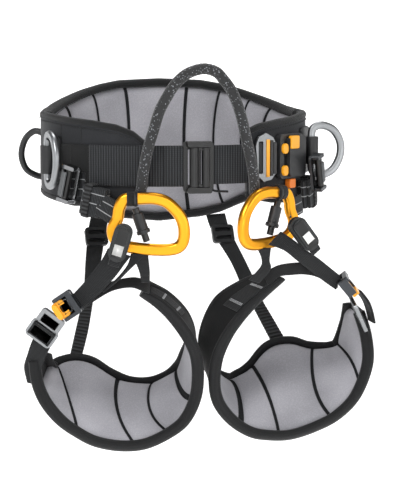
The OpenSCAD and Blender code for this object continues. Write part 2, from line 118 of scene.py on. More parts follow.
# %% Floor, world and lamps
def flat_material(name, colour, roughness, glow):
    """A plain material, used only for the studio floor, with a little light of its own."""
    material = bpy.data.materials.new(name)
    material.use_nodes = True
    shader = material.node_tree.nodes["Principled BSDF"]
    shader.inputs["Base Color"].default_value = linear(colour)
    shader.inputs["Roughness"].default_value = roughness
    shader.inputs["Emission Color"].default_value = linear(colour)
    shader.inputs["Emission Strength"].default_value = glow
    return material


# A seamless round sweep: flat under the saddle, then a low curve all round, with no corner.
FLOOR_Z = cad_box[0][2] - 0.40
SWEEP_FLAT, SWEEP_CURVE, SWEEP_TOP = 6.0, 1.5, 1.4
SWEEP_TURNS = 64
profile = [(0.01, FLOOR_Z), (SWEEP_FLAT, FLOOR_Z)]
for step in range(1, 9):
    turn = math.pi / 2 * step / 8
    profile.append((SWEEP_FLAT + SWEEP_CURVE * math.sin(turn),
                    FLOOR_Z + SWEEP_CURVE * (1 - math.cos(turn))))
profile.append((SWEEP_FLAT + SWEEP_CURVE, FLOOR_Z + SWEEP_CURVE + SWEEP_TOP))
floor_points = [(r * math.cos(2 * math.pi * k / SWEEP_TURNS),
                 r * math.sin(2 * math.pi * k / SWEEP_TURNS), z)
                for r, z in profile for k in range(SWEEP_TURNS)]
floor_faces = [(i * SWEEP_TURNS + k, (i + 1) * SWEEP_TURNS + k,
                (i + 1) * SWEEP_TURNS + (k + 1) % SWEEP_TURNS,
                i * SWEEP_TURNS + (k + 1) % SWEEP_TURNS)
               for i in range(len(profile) - 1) for k in range(SWEEP_TURNS)]
floor_mesh = bpy.data.meshes.new("floor")
floor_mesh.from_pydata(floor_points, [], floor_faces)
floor_mesh.shade_smooth()
floor = bpy.data.objects.new("floor", floor_mesh)
floor_mesh.materials.append(flat_material("pale_floor", "#fafafa", 0.95, 0.72))
bpy.context.scene.collection.objects.link(floor)

world = bpy.data.worlds.new("studio")
world.use_nodes = True
world.node_tree.nodes["Background"].inputs["Color"].default_value = (1, 1, 1, 1)
world.node_tree.nodes["Background"].inputs["Strength"].default_value = 0.28
bpy.context.scene.world = world
bpy.context.scene.view_settings.view_transform = "Standard"


def lamp(name, place, size, power, target=(0.02, 0, -0.1)):
    """A square softbox that looks at the saddle."""
    data = bpy.data.lights.new(name, "AREA")
    data.size = size
    data.energy = power
    light = bpy.data.objects.new(name, data)
    light.location = place
    light.rotation_euler = (Vector(target) - Vector(place)).to_track_quat("-Z", "Y").to_euler()
    bpy.context.scene.collection.objects.link(light)


lamp("key", (-0.9, -1.3, 1.3), 0.7, 22)
lamp("fill", (1.3, -1.1, 0.5), 0.8, 5)
lamp("top", (0.1, 0.5, 1.5), 0.8, 12)
lamp("front", (0.0, -1.9, 0.1), 0.5, 3)

# %% [markdown]
# ## Lines, tubes and bands
# Nearly everything here follows a path: rope, rings, tubes, straps and the belt itself.
# Three helpers make them: a smooth line through listed points, a tube swept along such a
# line, and a band stretched between two edge lines. Each one writes UVs in real metres along
# and across the piece, so a weave keeps its true scale however the piece bends.


# %% Smooth lines
def smooth_line(points, steps=6, closed=False):
    """A smooth line through points given in millimetres. The result is in metres."""
    knots = [Vector(p) * MM for p in points]
    count = len(knots)
    line = []
    for i in range(count if closed else count - 1):
        around = [i + k for k in (-1, 0, 1, 2)]
        picks = [k % count if closed else min(max(k, 0), count - 1) for k in around]
        a, b, c, d = (knots[k] for k in picks)
        for s in range(steps):
            t = s / steps
            line.append(0.5 * (2 * b + (c - a) * t + (2 * a - 5 * b + 4 * c - d) * t ** 2
                               + (3 * b - a - 3 * c + d) * t ** 3))
    if not closed:
        line.append(knots[-1])
    return line


def tangents(line, closed=False):
    """The direction of travel at each point of a line."""
    count = len(line)
    if closed:
        return [(line[(i + 1) % count] - line[i - 1]).normalized() for i in range(count)]
    return [(line[min(i + 1, count - 1)] - line[max(i - 1, 0)]).normalized() for i in range(count)]


def run_lengths(line):
    """How far along the line each point is, in metres."""
    total = [0.0]
    for a, b in zip(line, line[1:]):
        total.append(total[-1] + (b - a).length)
    return total


# %% Meshes from rings of points
def new_piece(name, points, faces, uvs, material):
    """A smooth mesh piece. uvs holds one pair for each corner of each face."""
    mesh = bpy.data.meshes.new(name)
    mesh.from_pydata([tuple(p) for p in points], [], faces)
    layer = mesh.uv_layers.new(name="run")
    corners = [uv for face in uvs for uv in face]
    layer.data.foreach_set("uv", [x for uv in corners for x in uv])
    mesh.shade_smooth()
    piece = bpy.data.objects.new(name, mesh)
    bpy.context.scene.collection.objects.link(piece)
    mesh.materials.append(material)
    return piece


def fix_normals(piece):
    """Makes every face of a closed piece look outwards."""
    work = bmesh.new()
    work.from_mesh(piece.data)
    bmesh.ops.recalc_face_normals(work, faces=work.faces)
    work.to_mesh(piece.data)
    work.free()
    return piece


def skin(name, rings, runs, across, material, closed=False):
    """Skins a row of equal rings. runs and across are the UVs along and round the piece."""
    size = len(rings[0])
    points = [p for ring in rings for p in ring]
    faces, uvs = [], []
    for i in range(len(rings) if closed else len(rings) - 1):
        k = (i + 1) % len(rings)
        run_k = runs[k] if k else runs[-1] + (rings[0][0] - rings[-1][0]).length
        for j in range(size):
            m = (j + 1) % size
            faces.append((i * size + j, i * size + m, k * size + m, k * size + j))
            uvs.append(((runs[i], across[j]), (runs[i], across[j + 1]),
                        (run_k, across[j + 1]), (run_k, across[j])))
    if not closed:
        for i, order in ((0, range(size - 1, -1, -1)), (len(rings) - 1, range(size))):
            faces.append(tuple(i * size + j for j in order))
            uvs.append(tuple((runs[i], across[j]) for j in order))
    return fix_normals(new_piece(name, points, faces, uvs, material))


def tube(name, line, section, normal, material, closed=False):
    """Sweeps a section, a list of (sideways, along normal) in metres, along a line."""
    ways = tangents(line, closed)
    rings = []
    for centre, way in zip(line, ways):
        side = way.cross(normal).normalized()
        up = side.cross(way)
        rings.append([centre + side * x + up * y for x, y in section])
    steps = [(Vector(a) - Vector(b)).length for a, b in zip(section, section[1:] + section[:1])]
    across = [sum(steps[:i]) for i in range(len(steps) + 1)]
    return skin(name, rings, run_lengths(line), across, material, closed)


def round_section(radius, sides):
    """A circle as a section for a tube."""
    turn = 2 * math.pi / sides
    return [(radius * math.cos(turn * i), radius * math.sin(turn * i)) for i in range(sides)]


# %% Bands
def band(name, edge_a, edge_b, inner, outer, material, cells=10, rounding=1.2, ribs=None,
         crown=0.0):
    """A strap or padded band between two edge lines, from offset inner to outer (mm)."""
    ways = tangents([(a + b) / 2 for a, b in zip(edge_a, edge_b)])
    runs = run_lengths([(a + b) / 2 for a, b in zip(edge_a, edge_b)])
    middle, half = (inner + outer) / 2 * MM, abs(outer - inner) / 2 * MM
    rings = []
    for a, b, way, run in zip(edge_a, edge_b, ways, runs):
        cross = b - a
        width = cross.length
        cross = cross.normalized()
        normal = way.cross(cross).normalized()
        edge = min(rounding * MM, width / 3)
        rows = [(0, 0), (edge * 0.3, 0.72), (edge, 1)]
        rows += [(edge + (width - 2 * edge) * k / cells, 1) for k in range(1, cells)]
        rows += [(width - edge, 1), (width - edge * 0.3, 0.72), (width, 0)]
        swell = 1.0 + (ribs[1] * math.cos(2 * math.pi * run / ribs[0]) if ribs else 0.0)
        face = []
        for x, rise in rows:
            bulge = crown * MM * (1 - (2 * x / width - 1) ** 2)
            face.append((x, middle, half * rise * swell + bulge * rise))
        ring = [a + cross * x + normal * (mid + up) for x, mid, up in face]
        ring += [a + cross * x + normal * (mid - up) for x, mid, up in reversed(face[1:-1])]
        rings.append(ring)
    mean = sum((b - a).length for a, b in zip(edge_a, edge_b)) / len(edge_a)
    rows = cells + 5
    across = [mean * k / (rows - 1) for k in range(rows)]
    across += [mean * k / (rows - 1) for k in range(rows - 2, 0, -1)] + [0.0]
    return skin(name, rings, runs, across, material)


def strap(name, edge_a, edge_b, inner, outer, material, steps=8, **look):
    """A band whose edges are listed points in millimetres."""
    return band(name, smooth_line(edge_a, steps), smooth_line(edge_b, steps), inner, outer,
                material, **look)


def place(piece, body, slot, *nodes):
    """Rides a finished piece on its body and lets it stand for its CAD nodes."""
    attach(piece, body)
    if nodes:
        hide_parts(*nodes)
    print(f"{piece.name}: {len(piece.data.polygons)} faces, rides on {body}")
    return piece


# %% [markdown]
# ## Finishes
# Each material starts from what the real thing is made of. Woven goods are drawn in UVs that
# run along the strap: the ribs of webbing are wide enough to show, so they use their real
# pitch, while single threads are drawn a little coarser than life so that they still read.


# %% Start a material
def start_material(name, colour, roughness, metallic=0.0, **shader_inputs):
    """A Principled material with its constant values set on the shader's own sockets."""
    material = bpy.data.materials.new(name)
    material.use_nodes = True
    tree = material.node_tree
    shader = tree.nodes["Principled BSDF"]
    shader.inputs["Base Color"].default_value = linear(colour)
    shader.inputs["Roughness"].default_value = roughness
    shader.inputs["Metallic"].default_value = metallic
    for key, value in shader_inputs.items():
        shader.inputs[key.replace("_", " ")].default_value = value
    return material, tree, shader


def link_bump(tree, shader, height, depth_mm, strength=1.0):
    """Feeds a height pattern to the shader as bump of a real depth."""
    bump = add_node(tree, "ShaderNodeBump",
                    {"Height": height, "Distance": depth_mm * MM, "Strength": strength})
    tree.links.new(bump.outputs["Normal"], shader.inputs["Normal"])


def wave(tree, coordinate, pitch_mm, axis):
    """Bands across one axis of a coordinate in metres, one band for each pitch."""
    # Blender's wave texture repeats each 2 pi / 20 units at scale 1.
    scale = 2 * math.pi / 20 / (pitch_mm * MM)
    return add_node(tree, "ShaderNodeTexWave", {"Vector": coordinate, "Scale": scale},
                    bands_direction=axis)


def shade(tree, shader, factor, low, high):
    """Colours the base from low to high by a 0 to 1 factor."""
    mix = add_node(tree, "ShaderNodeMix", {0: factor, 6: linear(low), 7: linear(high)},
                   data_type="RGBA")
    tree.links.new(mix.outputs[2], shader.inputs["Base Color"])
    return mix


# %% Webbing, tape and elastic
def webbing(name, dark, light, rib_mm, thread_mm, roughness=0.75, tracers=(),
            thread_share=0.35):
    """Woven polyester: ribs across the strap, warp threads along it, and tracer threads."""
    material, tree, shader = start_material(name, light, roughness, Sheen_Weight=0.08,
                                            Specular_IOR_Level=0.25)
    uv = add_node(tree, "ShaderNodeUVMap", uv_map="run").outputs["UV"]
    ribs = wave(tree, uv, rib_mm, "X").outputs["Fac"]
    threads = wave(tree, uv, thread_mm, "Y").outputs["Fac"]
    weak = add_node(tree, "ShaderNodeMapRange", {"Value": threads, "To Min": 1 - thread_share,
                                                 "To Max": 1.0}).outputs["Result"]
    both = add_node(tree, "ShaderNodeMath", {0: ribs, 1: weak}, operation="MULTIPLY")
    mix = shade(tree, shader, both.outputs[0], dark, light)
    if tracers:
        split = add_node(tree, "ShaderNodeSeparateXYZ", {0: uv})
        total = None
        for centre in tracers:
            near = add_node(tree, "ShaderNodeMath",
                            {0: split.outputs["Y"], 1: centre * MM, 2: 0.4 * MM},
                            operation="COMPARE").outputs[0]
            total = near if total is None else add_node(
                tree, "ShaderNodeMath", {0: total, 1: near}, operation="ADD").outputs[0]
        line = add_node(tree, "ShaderNodeMix",
                        {0: total, 6: mix.outputs[2], 7: linear("#8c8e90")}, data_type="RGBA")
        tree.links.new(line.outputs[2], shader.inputs["Base Color"])
    link_bump(tree, shader, both.outputs[0], 0.35)
    return material


# The waist webbing is a heavy ribbed weave, so its ribs stand 2.8 mm apart.
waist_webbing_mat = webbing("polyester_webbing_ribbed", "#0c0d0e", "#37393c", 2.8, 1.6)
# The other straps are a finer, flatter weave.
webbing_mat = webbing("polyester_webbing_flat", "#0a0b0c", "#2a2b2d", 1.4, 1.2)
# A smoother, tighter weave for the strap ends that lie under the adjusters.
smooth_webbing_mat = webbing("polyester_webbing_smooth", "#060607", "#131415", 0.9, 0.9)
# Undyed grey tape, seen where a strap turns back on itself.
grey_webbing_mat = webbing("polyester_webbing_grey", "#3f4143", "#707274", 1.6, 1.2)
side_webbing_mat = webbing("polyester_webbing_tracer", "#101112", "#333538", 1.8, 1.2,
                           tracers=(8.5, 16.5))
tape_mat = webbing("nylon_binding_tape", "#070708", "#161719", 1.1, 1.4, 0.6)
elastic_mat = webbing("ribbed_elastic", "#020202", "#38393b", 4.2, 1.0, 0.7)


# %% Face fabric and padded mesh
def woven(name, dark, light, thread_mm, roughness, sheen):
    """A plain weave on Object coordinates, with slow changes of shade as fabric has."""
    material, tree, shader = start_material(name, light, roughness, Sheen_Weight=sheen,
                                            Specular_IOR_Level=0.2)
    place_at = add_node(tree, "ShaderNodeTexCoord").outputs["Object"]
    cells = add_node(tree, "ShaderNodeTexVoronoi",
                     {"Vector": place_at, "Scale": 1 / (thread_mm * MM)}).outputs["Distance"]
    cloud = add_node(tree, "ShaderNodeTexNoise",
                     {"Vector": place_at, "Scale": 22.0, "Detail": 2.0,
                      "Roughness": 0.3}).outputs["Fac"]
    both = add_node(tree, "ShaderNodeMath", {0: cells, 1: 0.35, 2: cloud},
                    operation="MULTIPLY_ADD")
    shade(tree, shader, both.outputs[0], dark, light)
    link_bump(tree, shader, cells, 0.2, 0.6)
    return material


# Outer fabric: dense black nylon that barely shines.
shell_mat = woven("cordura_face_fabric", "#050506", "#111213", 1.2, 0.7, 0.05)
wing_mat = woven("brushed_nylon_face", "#161719", "#2a2b2e", 1.2, 0.85, 0.15)
# Webbing seen end on, where it is wrapped round a frame: only its woven surface reads.
wrap_mat = woven("wrapped_webbing", "#1a1b1c", "#36383a", 0.9, 0.8, 0.05)
# Inner padding: grey spacer mesh, open and dull.
padding_mat = woven("spacer_mesh_padding", "#6a6a6e", "#a3a2a8", 1.3, 0.9, 0.15)
# Painted shade: the valley of each sewn channel, where the mesh is pulled down, gets a near-black
# colour in place of the grey mesh.
channel_shade_mat = woven("sewn_channel_painted_shade", "#0b0b0c", "#1f2022", 1.2, 0.9, 0.0)


# %% Metals and plastics
def metal(name, colour, roughness, grain_mm=0.5, depth_mm=0.01):
    """Metal with a faint drawn or tumbled grain that breaks up its highlights."""
    material, tree, shader = start_material(name, colour, roughness, 1.0)
    place_at = add_node(tree, "ShaderNodeTexCoord").outputs["Object"]
    grain = add_node(tree, "ShaderNodeTexNoise",
                     {"Vector": place_at, "Scale": 1 / (grain_mm * MM), "Detail": 4.0})
    smear = add_node(tree, "ShaderNodeTexNoise",
                     {"Vector": place_at, "Scale": 60.0, "Detail": 2.0})
    rough = add_node(tree, "ShaderNodeMapRange",
                     {"Value": smear.outputs["Fac"], "To Min": roughness - 0.06,
                      "To Max": roughness + 0.08})
    tree.links.new(rough.outputs["Result"], shader.inputs["Roughness"])
    link_bump(tree, shader, grain.outputs["Fac"], depth_mm, 0.4)
    return material


def plastic(name, dark, light, roughness, grain_mm=0.6, depth_mm=0.05):
    """Moulded plastic with the fine spark-eroded texture of its mould."""
    material, tree, shader = start_material(name, light, roughness)
    place_at = add_node(tree, "ShaderNodeTexCoord").outputs["Object"]
    grain = add_node(tree, "ShaderNodeTexNoise",
                     {"Vector": place_at, "Scale": 1 / (grain_mm * MM), "Detail": 2.0})
    shade(tree, shader, grain.outputs["Fac"], dark, light)
    link_bump(tree, shader, grain.outputs["Fac"], depth_mm, 0.5)
    return material


gold_mat = metal("gold_anodised_aluminium", "#f0a52c", 0.30)
silver_mat = metal("satin_anodised_aluminium", "#8b8d8f", 0.30)
# Forged and tumbled, so the side rings shine more than the stamped frames.
ring_silver_mat = metal("polished_forged_aluminium", "#8d8f91", 0.34)
gunmetal_mat = metal("gunmetal_cast_alloy", "#45474a", 0.34)
chrome_mat = metal("chromed_steel", "#858688", 0.16)
black_steel_mat = plastic("black_coated_steel", "#030303", "#0a0a0b", 0.32)
nylon_mat = plastic("moulded_nylon", "#0c0d0e", "#1c1d1f", 0.45)
keeper_mat = plastic("moulded_rubber", "#131415", "#262829", 0.5)
grey_nylon_mat = plastic("moulded_grey_nylon", "#111213", "#242527", 0.45)
yellow_mat = plastic("moulded_yellow_acetal", "#e0930c", "#f2aa18", 0.32)
orange_mat = plastic("moulded_orange_acetal", "#c9620e", "#e07a1c", 0.35)
white_mat = plastic("white_patch", "#d8d8d6", "#ededeb", 0.5)
thread_mat = plastic("polyester_thread", "#8f9194", "#a6a8aa", 0.7)
dark_thread_mat = plastic("dark_polyester_thread", "#0c0d0e", "#1a1b1c", 0.7)

# %% [markdown]
# ## Rope bridge
# The bridge is an 11.6 mm braided rope. It is one length, from the bar of the left ring up over
# the front of the waist and down to the bar of the right ring. Its route is fixed by the CAD
# model, and the points are repeated here. The braid is cut into the mesh: two sets of strands
# spiral opposite ways, and a strand stands up where it passes over the other set.

# %% Rope route and braid
ROPE_ROUTE = [
    (-54, -117, -33), (-53, -119, -20), (-51, -122, -2), (-47, -125, 20), (-42, -127, 37),
    (-36, -128, 57), (-30, -128, 69), (-22, -128, 82), (-14, -127, 91), (-4, -126, 98),
    (11, -125, 102), (24, -125, 99), (32, -126, 91), (40, -127, 80), (45, -128, 69),
    (51, -128, 51), (57, -127, 26), (62, -124, 7), (66, -119, -12), (68, -113, -29)]
ROPE_RADIUS = 5.8 * MM
STRANDS = 8
BRAID_PITCH = 34 * MM

rope_mat, rope_tree, rope_shader = start_material("braided_polyester_rope", "#2d2e31", 0.7,
                                                  Sheen_Weight=0.2)
rope_uv = add_node(rope_tree, "ShaderNodeUVMap", uv_map="run").outputs["UV"]
flecks = add_node(rope_tree, "ShaderNodeTexVoronoi", {"Vector": rope_uv, "Scale": 1000.0},
                  distance="CHEBYCHEV")
fleck_pick = add_node(rope_tree, "ShaderNodeSeparateColor", {0: flecks.outputs["Color"]})
fleck_mask = add_node(rope_tree, "ShaderNodeMath", {0: fleck_pick.outputs[0], 1: 0.94},
                      operation="GREATER_THAN")
rope_strands = add_node(rope_tree, "ShaderNodeTexNoise", {"Vector": rope_uv, "Scale": 1400.0})
rope_dark = add_node(rope_tree, "ShaderNodeMix",
                     {0: rope_strands.outputs["Fac"], 6: linear("#050506"),
                      7: linear("#1a1b1d")}, data_type="RGBA")
rope_colour = add_node(rope_tree, "ShaderNodeMix",
                       {0: fleck_mask.outputs[0], 6: rope_dark.outputs[2],
                        7: linear("#77797e")}, data_type="RGBA")
rope_tree.links.new(rope_colour.outputs[2], rope_shader.inputs["Base Color"])
link_bump(rope_tree, rope_shader, rope_strands.outputs["Fac"], 0.15)

rope_line = smooth_line(ROPE_ROUTE, 22)
rope_runs = run_lengths(rope_line)
rope = tube("bridge_rope", rope_line, round_section(ROPE_RADIUS, 40), Vector((0, 1, 0)), rope_mat)
for index, vertex in enumerate(rope.data.vertices):
    ring_number, step = divmod(index, 40)
    around = 2 * math.pi * step / 40
    twist = 2 * math.pi * rope_runs[ring_number] / BRAID_PITCH
    right_hand = math.sin(STRANDS * (around + twist) / 2)
    left_hand = math.sin(STRANDS * (around - twist) / 2)
    lift = 0.7 * MM * (max(abs(right_hand), abs(left_hand)) - 1.0)
    centre = rope_line[ring_number]
    vertex.co += (vertex.co - centre).normalized() * lift
place(rope, "harness", "rope", "bridge_rope")

# %% [markdown]
# ## The belt's curve
# In plan the belt is half an ellipse behind the wearer, carried on by a wing on each side. The
# same few edge heights as in the CAD model set how far it rises at the back and dips at the
# hips. Everything sewn to the belt is placed by an angle, a height and a distance off it.

# %% Belt curve
BELT_HALF_W, BELT_HALF_D = 144.0, 112.0
TOP_EDGE = [(0, 88), (20, 86), (30, 82), (40, 76.5), (50, 70), (60, 64), (70, 58.5), (80, 56),
            (110, 53), (125, 50), (136, 48), (148, 44), (156, 37), (161, 27), (163, 18)]
BOTTOM_EDGE = [(0, -80), (20, -75), (30, -69), (40, -59), (55, -46), (70, -39), (90, -36),
               (110, -40), (125, -44), (140, -42), (152, -37), (160, -28), (163, -18)]
BELT_END = 92.0
WING_END = {"left": -162.0, "right": 154.0}


def edge_height(table, angle):
    """Height of a belt edge at an angle from the middle of the back, in mm."""
    angle = abs(angle)
    for (a0, z0), (a1, z1) in zip(table, table[1:]):
        if angle <= a1:
            return z0 + (z1 - z0) * max(0.0, angle - a0) / (a1 - a0)
    return table[-1][1]


def belt_normal(angle):
    """The direction straight out of the belt at an angle."""
    a = math.radians(angle)
    return Vector((math.sin(a) / BELT_HALF_W, math.cos(a) / BELT_HALF_D, 0)).normalized()


def belt_point(angle, z, off=0.0):
    """A point on the belt, in metres, from an angle, a height and a distance out in mm."""
    a = math.radians(angle)
    flat = Vector((BELT_HALF_W * math.sin(a), BELT_HALF_D * math.cos(a), z))
    return (flat + belt_normal(angle) * off) * MM


def spread(start, end, count):
    """Evenly spaced values from start to end."""
    return [start + (end - start) * i / (count - 1) for i in range(count)]


def belt_lines(start, end, count, top_cut=0.0, bottom_cut=0.0):
    """Top and bottom edge lines of a stretch of the belt."""
    angles = spread(start, end, count)
    top = [belt_point(a, edge_height(TOP_EDGE, a) - top_cut) for a in angles]
    bottom = [belt_point(a, edge_height(BOTTOM_EDGE, a) + bottom_cut) for a in angles]
    return top, bottom


# %% [markdown]
# ## Quilted padding
# The padding is foam under grey mesh, sewn through in channels so that it breaks into soft
# panels. A grid gives each panel its crown, then Cloth with a little pressure puffs the panels
# between the pinned seams and edges, as foam pushes at its cover. A formula alone would look
# too even, and a remesh would wipe the narrow channels away, so the grid keeps its seams.


# %% Quilting
PANEL_SHARES = (0.0, 0.035, 0.08, 0.15, 0.25, 0.37, 0.5, 0.63, 0.75, 0.85, 0.92, 0.965)


def seam_place(seam, height):
    """Where a seam is at a height from 0 to 1. A seam is its low, middle and high place."""
    low, middle, high = seam
    bend = (low + high) / 2 - middle
    return low + (high - low) * height - 4 * bend * height * (1 - height)


def quilted(name, surface, rows, seams, depth, crown, groove):
    """A closed pad: surface(u, v) gives a point and its inward normal. u runs along the pad.

    The grid's columns follow the seams, so that each sewn channel is one clean line."""
    lines = [(0.0, 0.0, 0.0)] + list(seams) + [(1.0, 1.0, 1.0)]
    vs = spread(0.0, 1.0, rows)
    columns = [(k, share) for k in range(len(lines) - 1) for share in PANEL_SHARES]
    columns.append((len(lines) - 2, 1.0))
    points, pinned = [], []
    for layer in (0, 1):
        for k, share in columns:
            for v in vs:
                start, end = seam_place(lines[k], v), seam_place(lines[k + 1], v)
                u = start + (end - start) * share
                base, inward = surface(u, v)
                rim = min(1.0, min(v, 1 - v) * 7, min(u, 1 - u) * 30)
                soft = math.sqrt(max(0.0, 1 - (1 - rim) ** 2))
                open_end = (k == 0 and share < 0.5) or (k == len(lines) - 2 and share > 0.5)
                dome = 1.0 if open_end else (4 * share * (1 - share)) ** 0.4
                rise = depth * (0.25 + 0.75 * soft) + soft * (crown * dome - groove * (1 - dome))
                points.append(base + inward * (rise * MM if layer else 0.0))
                pinned.append(layer == 0 or rim < 0.5 or dome < 0.7)
    width = len(vs)
    shift = len(columns) * width
    faces, uvs, sewn = [], [], []

    def add(corners, places, dark=False):
        faces.append(tuple(corners))
        uvs.append(tuple(places))
        sewn.append(dark)

    for i in range(len(columns) - 1):
        share = columns[i][1]
        beside_seam = (share == 0.0 and i > 0) or (share == PANEL_SHARES[-1]
                                                   and i < len(columns) - 2)
        for j in range(width - 1):
            a, b, c, d = (i * width + j, i * width + j + 1, (i + 1) * width + j + 1,
                          (i + 1) * width + j)
            spots = [(i, vs[j]), (i, vs[j + 1]), (i + 1, vs[j + 1]), (i + 1, vs[j])]
            add((a, b, c, d), spots)
            add((a + shift, d + shift, c + shift, b + shift), [spots[n] for n in (0, 3, 2, 1)],
                beside_seam)
        for j in (0, width - 1):
            a, d = i * width + j, (i + 1) * width + j
            add((a, d, d + shift, a + shift), [(i, vs[j])] * 4)
    for j in range(width - 1):
        for i in (0, len(columns) - 1):
            a, b = i * width + j, i * width + j + 1
            add((a, b, b + shift, a + shift), [(i, vs[j])] * 4)
    piece = fix_normals(new_piece(name, points, faces, uvs, padding_mat))
    # The faces beside each seam take the near-black channel material: painted shade in the sewn
    # channel.
    piece.data.materials.append(channel_shade_mat)
    for face, dark in zip(piece.data.polygons, sewn):
        face.material_index = 1 if dark else 0
    return piece, pinned


def puff(piece, pinned, pressure=3.0, cap_mm=2.5, frames=20):
    """Cloth with pressure and no gravity, its movement capped, then applied."""
    before = [v.co.copy() for v in piece.data.vertices]
    group = piece.vertex_groups.new(name="pinned")
    group.add([i for i, held in enumerate(pinned) if held], 1.0, "REPLACE")
    cloth = piece.modifiers.new("cloth", "CLOTH")
    cloth.settings.vertex_group_mass = "pinned"
    cloth.settings.use_pressure = True
    cloth.settings.uniform_pressure_force = pressure
    cloth.settings.effector_weights.gravity = 0
    cloth.settings.quality = 5
    cloth.point_cache.frame_start = 1
    cloth.point_cache.frame_end = frames
    scene = bpy.context.scene
    for number in range(1, frames + 1):
        scene.frame_set(number)
    shaped = piece.evaluated_get(bpy.context.evaluated_depsgraph_get())
    after = [v.co.copy() for v in shaped.data.vertices]
    piece.modifiers.remove(cloth)
    piece.vertex_groups.clear()
    furthest = 0.0
    for vertex, old, new in zip(piece.data.vertices, before, after):
        move = new - old
        if move.length > cap_mm * MM:
            move = move.normalized() * cap_mm * MM
        furthest = max(furthest, move.length)
        vertex.co = old + move
    scene.frame_set(1)
    print(piece.name, "moved up to", round(furthest / MM, 2), "mm")


def subdivide_once(piece):
    """One level of subdivision, the same in the view and in the render."""
    modifier = piece.modifiers.new("smooth", "SUBSURF")
    modifier.levels = modifier.render_levels = 1


# %% Belt padding
PAD_SEAMS_DEG = (-54, -34.5, -17, 13.5, 29.5, 46, 60)


def belt_pad_surface(u, v):
    """The belt's inner face: u runs from the left hip to the right, v from bottom to top."""
    angle = -BELT_END + 1.0 + (2 * BELT_END - 2.0) * u
    low = edge_height(BOTTOM_EDGE, angle) + 8.6
    high = edge_height(TOP_EDGE, angle) - 8.6
    return belt_point(angle, low + (high - low) * v, -0.4), -belt_normal(angle)


def as_share(angle):
    return (angle + BELT_END - 1.0) / (2 * BELT_END - 2.0)


belt_seams = [(as_share(a * 1.06), as_share(a * 0.90), as_share(a)) for a in PAD_SEAMS_DEG]
belt_pad, belt_pins = quilted("belt_pad", belt_pad_surface, 26, belt_seams,
                              depth=6.8, crown=2.8, groove=4.4)
puff(belt_pad, belt_pins)
subdivide_once(belt_pad)
place(belt_pad, "harness", "grey_padding", "belt_padding")

# %% [markdown]
# ## Outer shell, binding and wings
# Outside, the belt is one stiff face of black fabric. A folded tape binds its raw edges all
# round, thick enough to cover shell and padding together. Each wing is a softer flap with its
# own binding along the top and rows of stitching down its face.

# %% Belt shell and binding
top_line, bottom_line = belt_lines(-BELT_END, BELT_END, 110, 4, 4)
belt_cover = band("belt_cover", top_line, bottom_line, 0.0, 3.0, shell_mat, cells=16, rounding=3,
                  crown=0.5)
place(belt_cover, "harness", "black_fabric", "belt_shell")


def edge_tape(name, start, end, table, sign, inner, outer, height, count=110):
    """Binding tape along one belt edge. sign is 1 on the top edge and -1 on the bottom."""
    angles = spread(start, end, count)
    outside = [belt_point(a, edge_height(table, a)) for a in angles]
    inside = [belt_point(a, edge_height(table, a) - sign * height) for a in angles]
    lines = (outside, inside) if sign > 0 else (inside, outside)
    return band(name, *lines, inner, outer, tape_mat, cells=4, rounding=3.6)


belt_top_tape = edge_tape("belt_top_tape", -BELT_END, BELT_END, TOP_EDGE, 1, -9.8, 4, 9.5)
belt_low_tape = edge_tape("belt_low_tape", -BELT_END, BELT_END, BOTTOM_EDGE, -1, -9.8, 4, 9.5)
place(belt_top_tape, "harness", "binding_tape", "belt_binding")
place(belt_low_tape, "harness", "binding_tape")

# %% Wings
for side, sign in (("left", -1), ("right", 1)):
    start, end = sign * (BELT_END - 1.5), WING_END[side]
    first, last = min(start, end), max(start, end)
    top_line, bottom_line = belt_lines(first, last, 70, 0, 0)
    wing = band(side + "_wing_pad", top_line, bottom_line, -5, 3.2, wing_mat, cells=14,
                rounding=4, crown=0.6)
    place(wing, "harness", "black_fabric", side + "_wing")
    tape = edge_tape(side + "_wing_tape", first, last, TOP_EDGE, 1, -5.6, 4.2, 8, 70)
    place(tape, "harness", "binding_tape")
    low_tape = edge_tape(side + "_wing_low_tape", first, last, BOTTOM_EDGE, -1, -5.6, 4.2, 8, 70)
    place(low_tape, "harness", "binding_tape")

# %% [markdown]
# ## Stitching with Geometry Nodes
# A sewn line is one short thread repeated at a fixed pitch along a path, which is just what
# Geometry Nodes do well. The tree resamples a line, puts a thread on each point, turned to
# follow the line, and ends in Realize Instances and Set Material so that it exports whole.


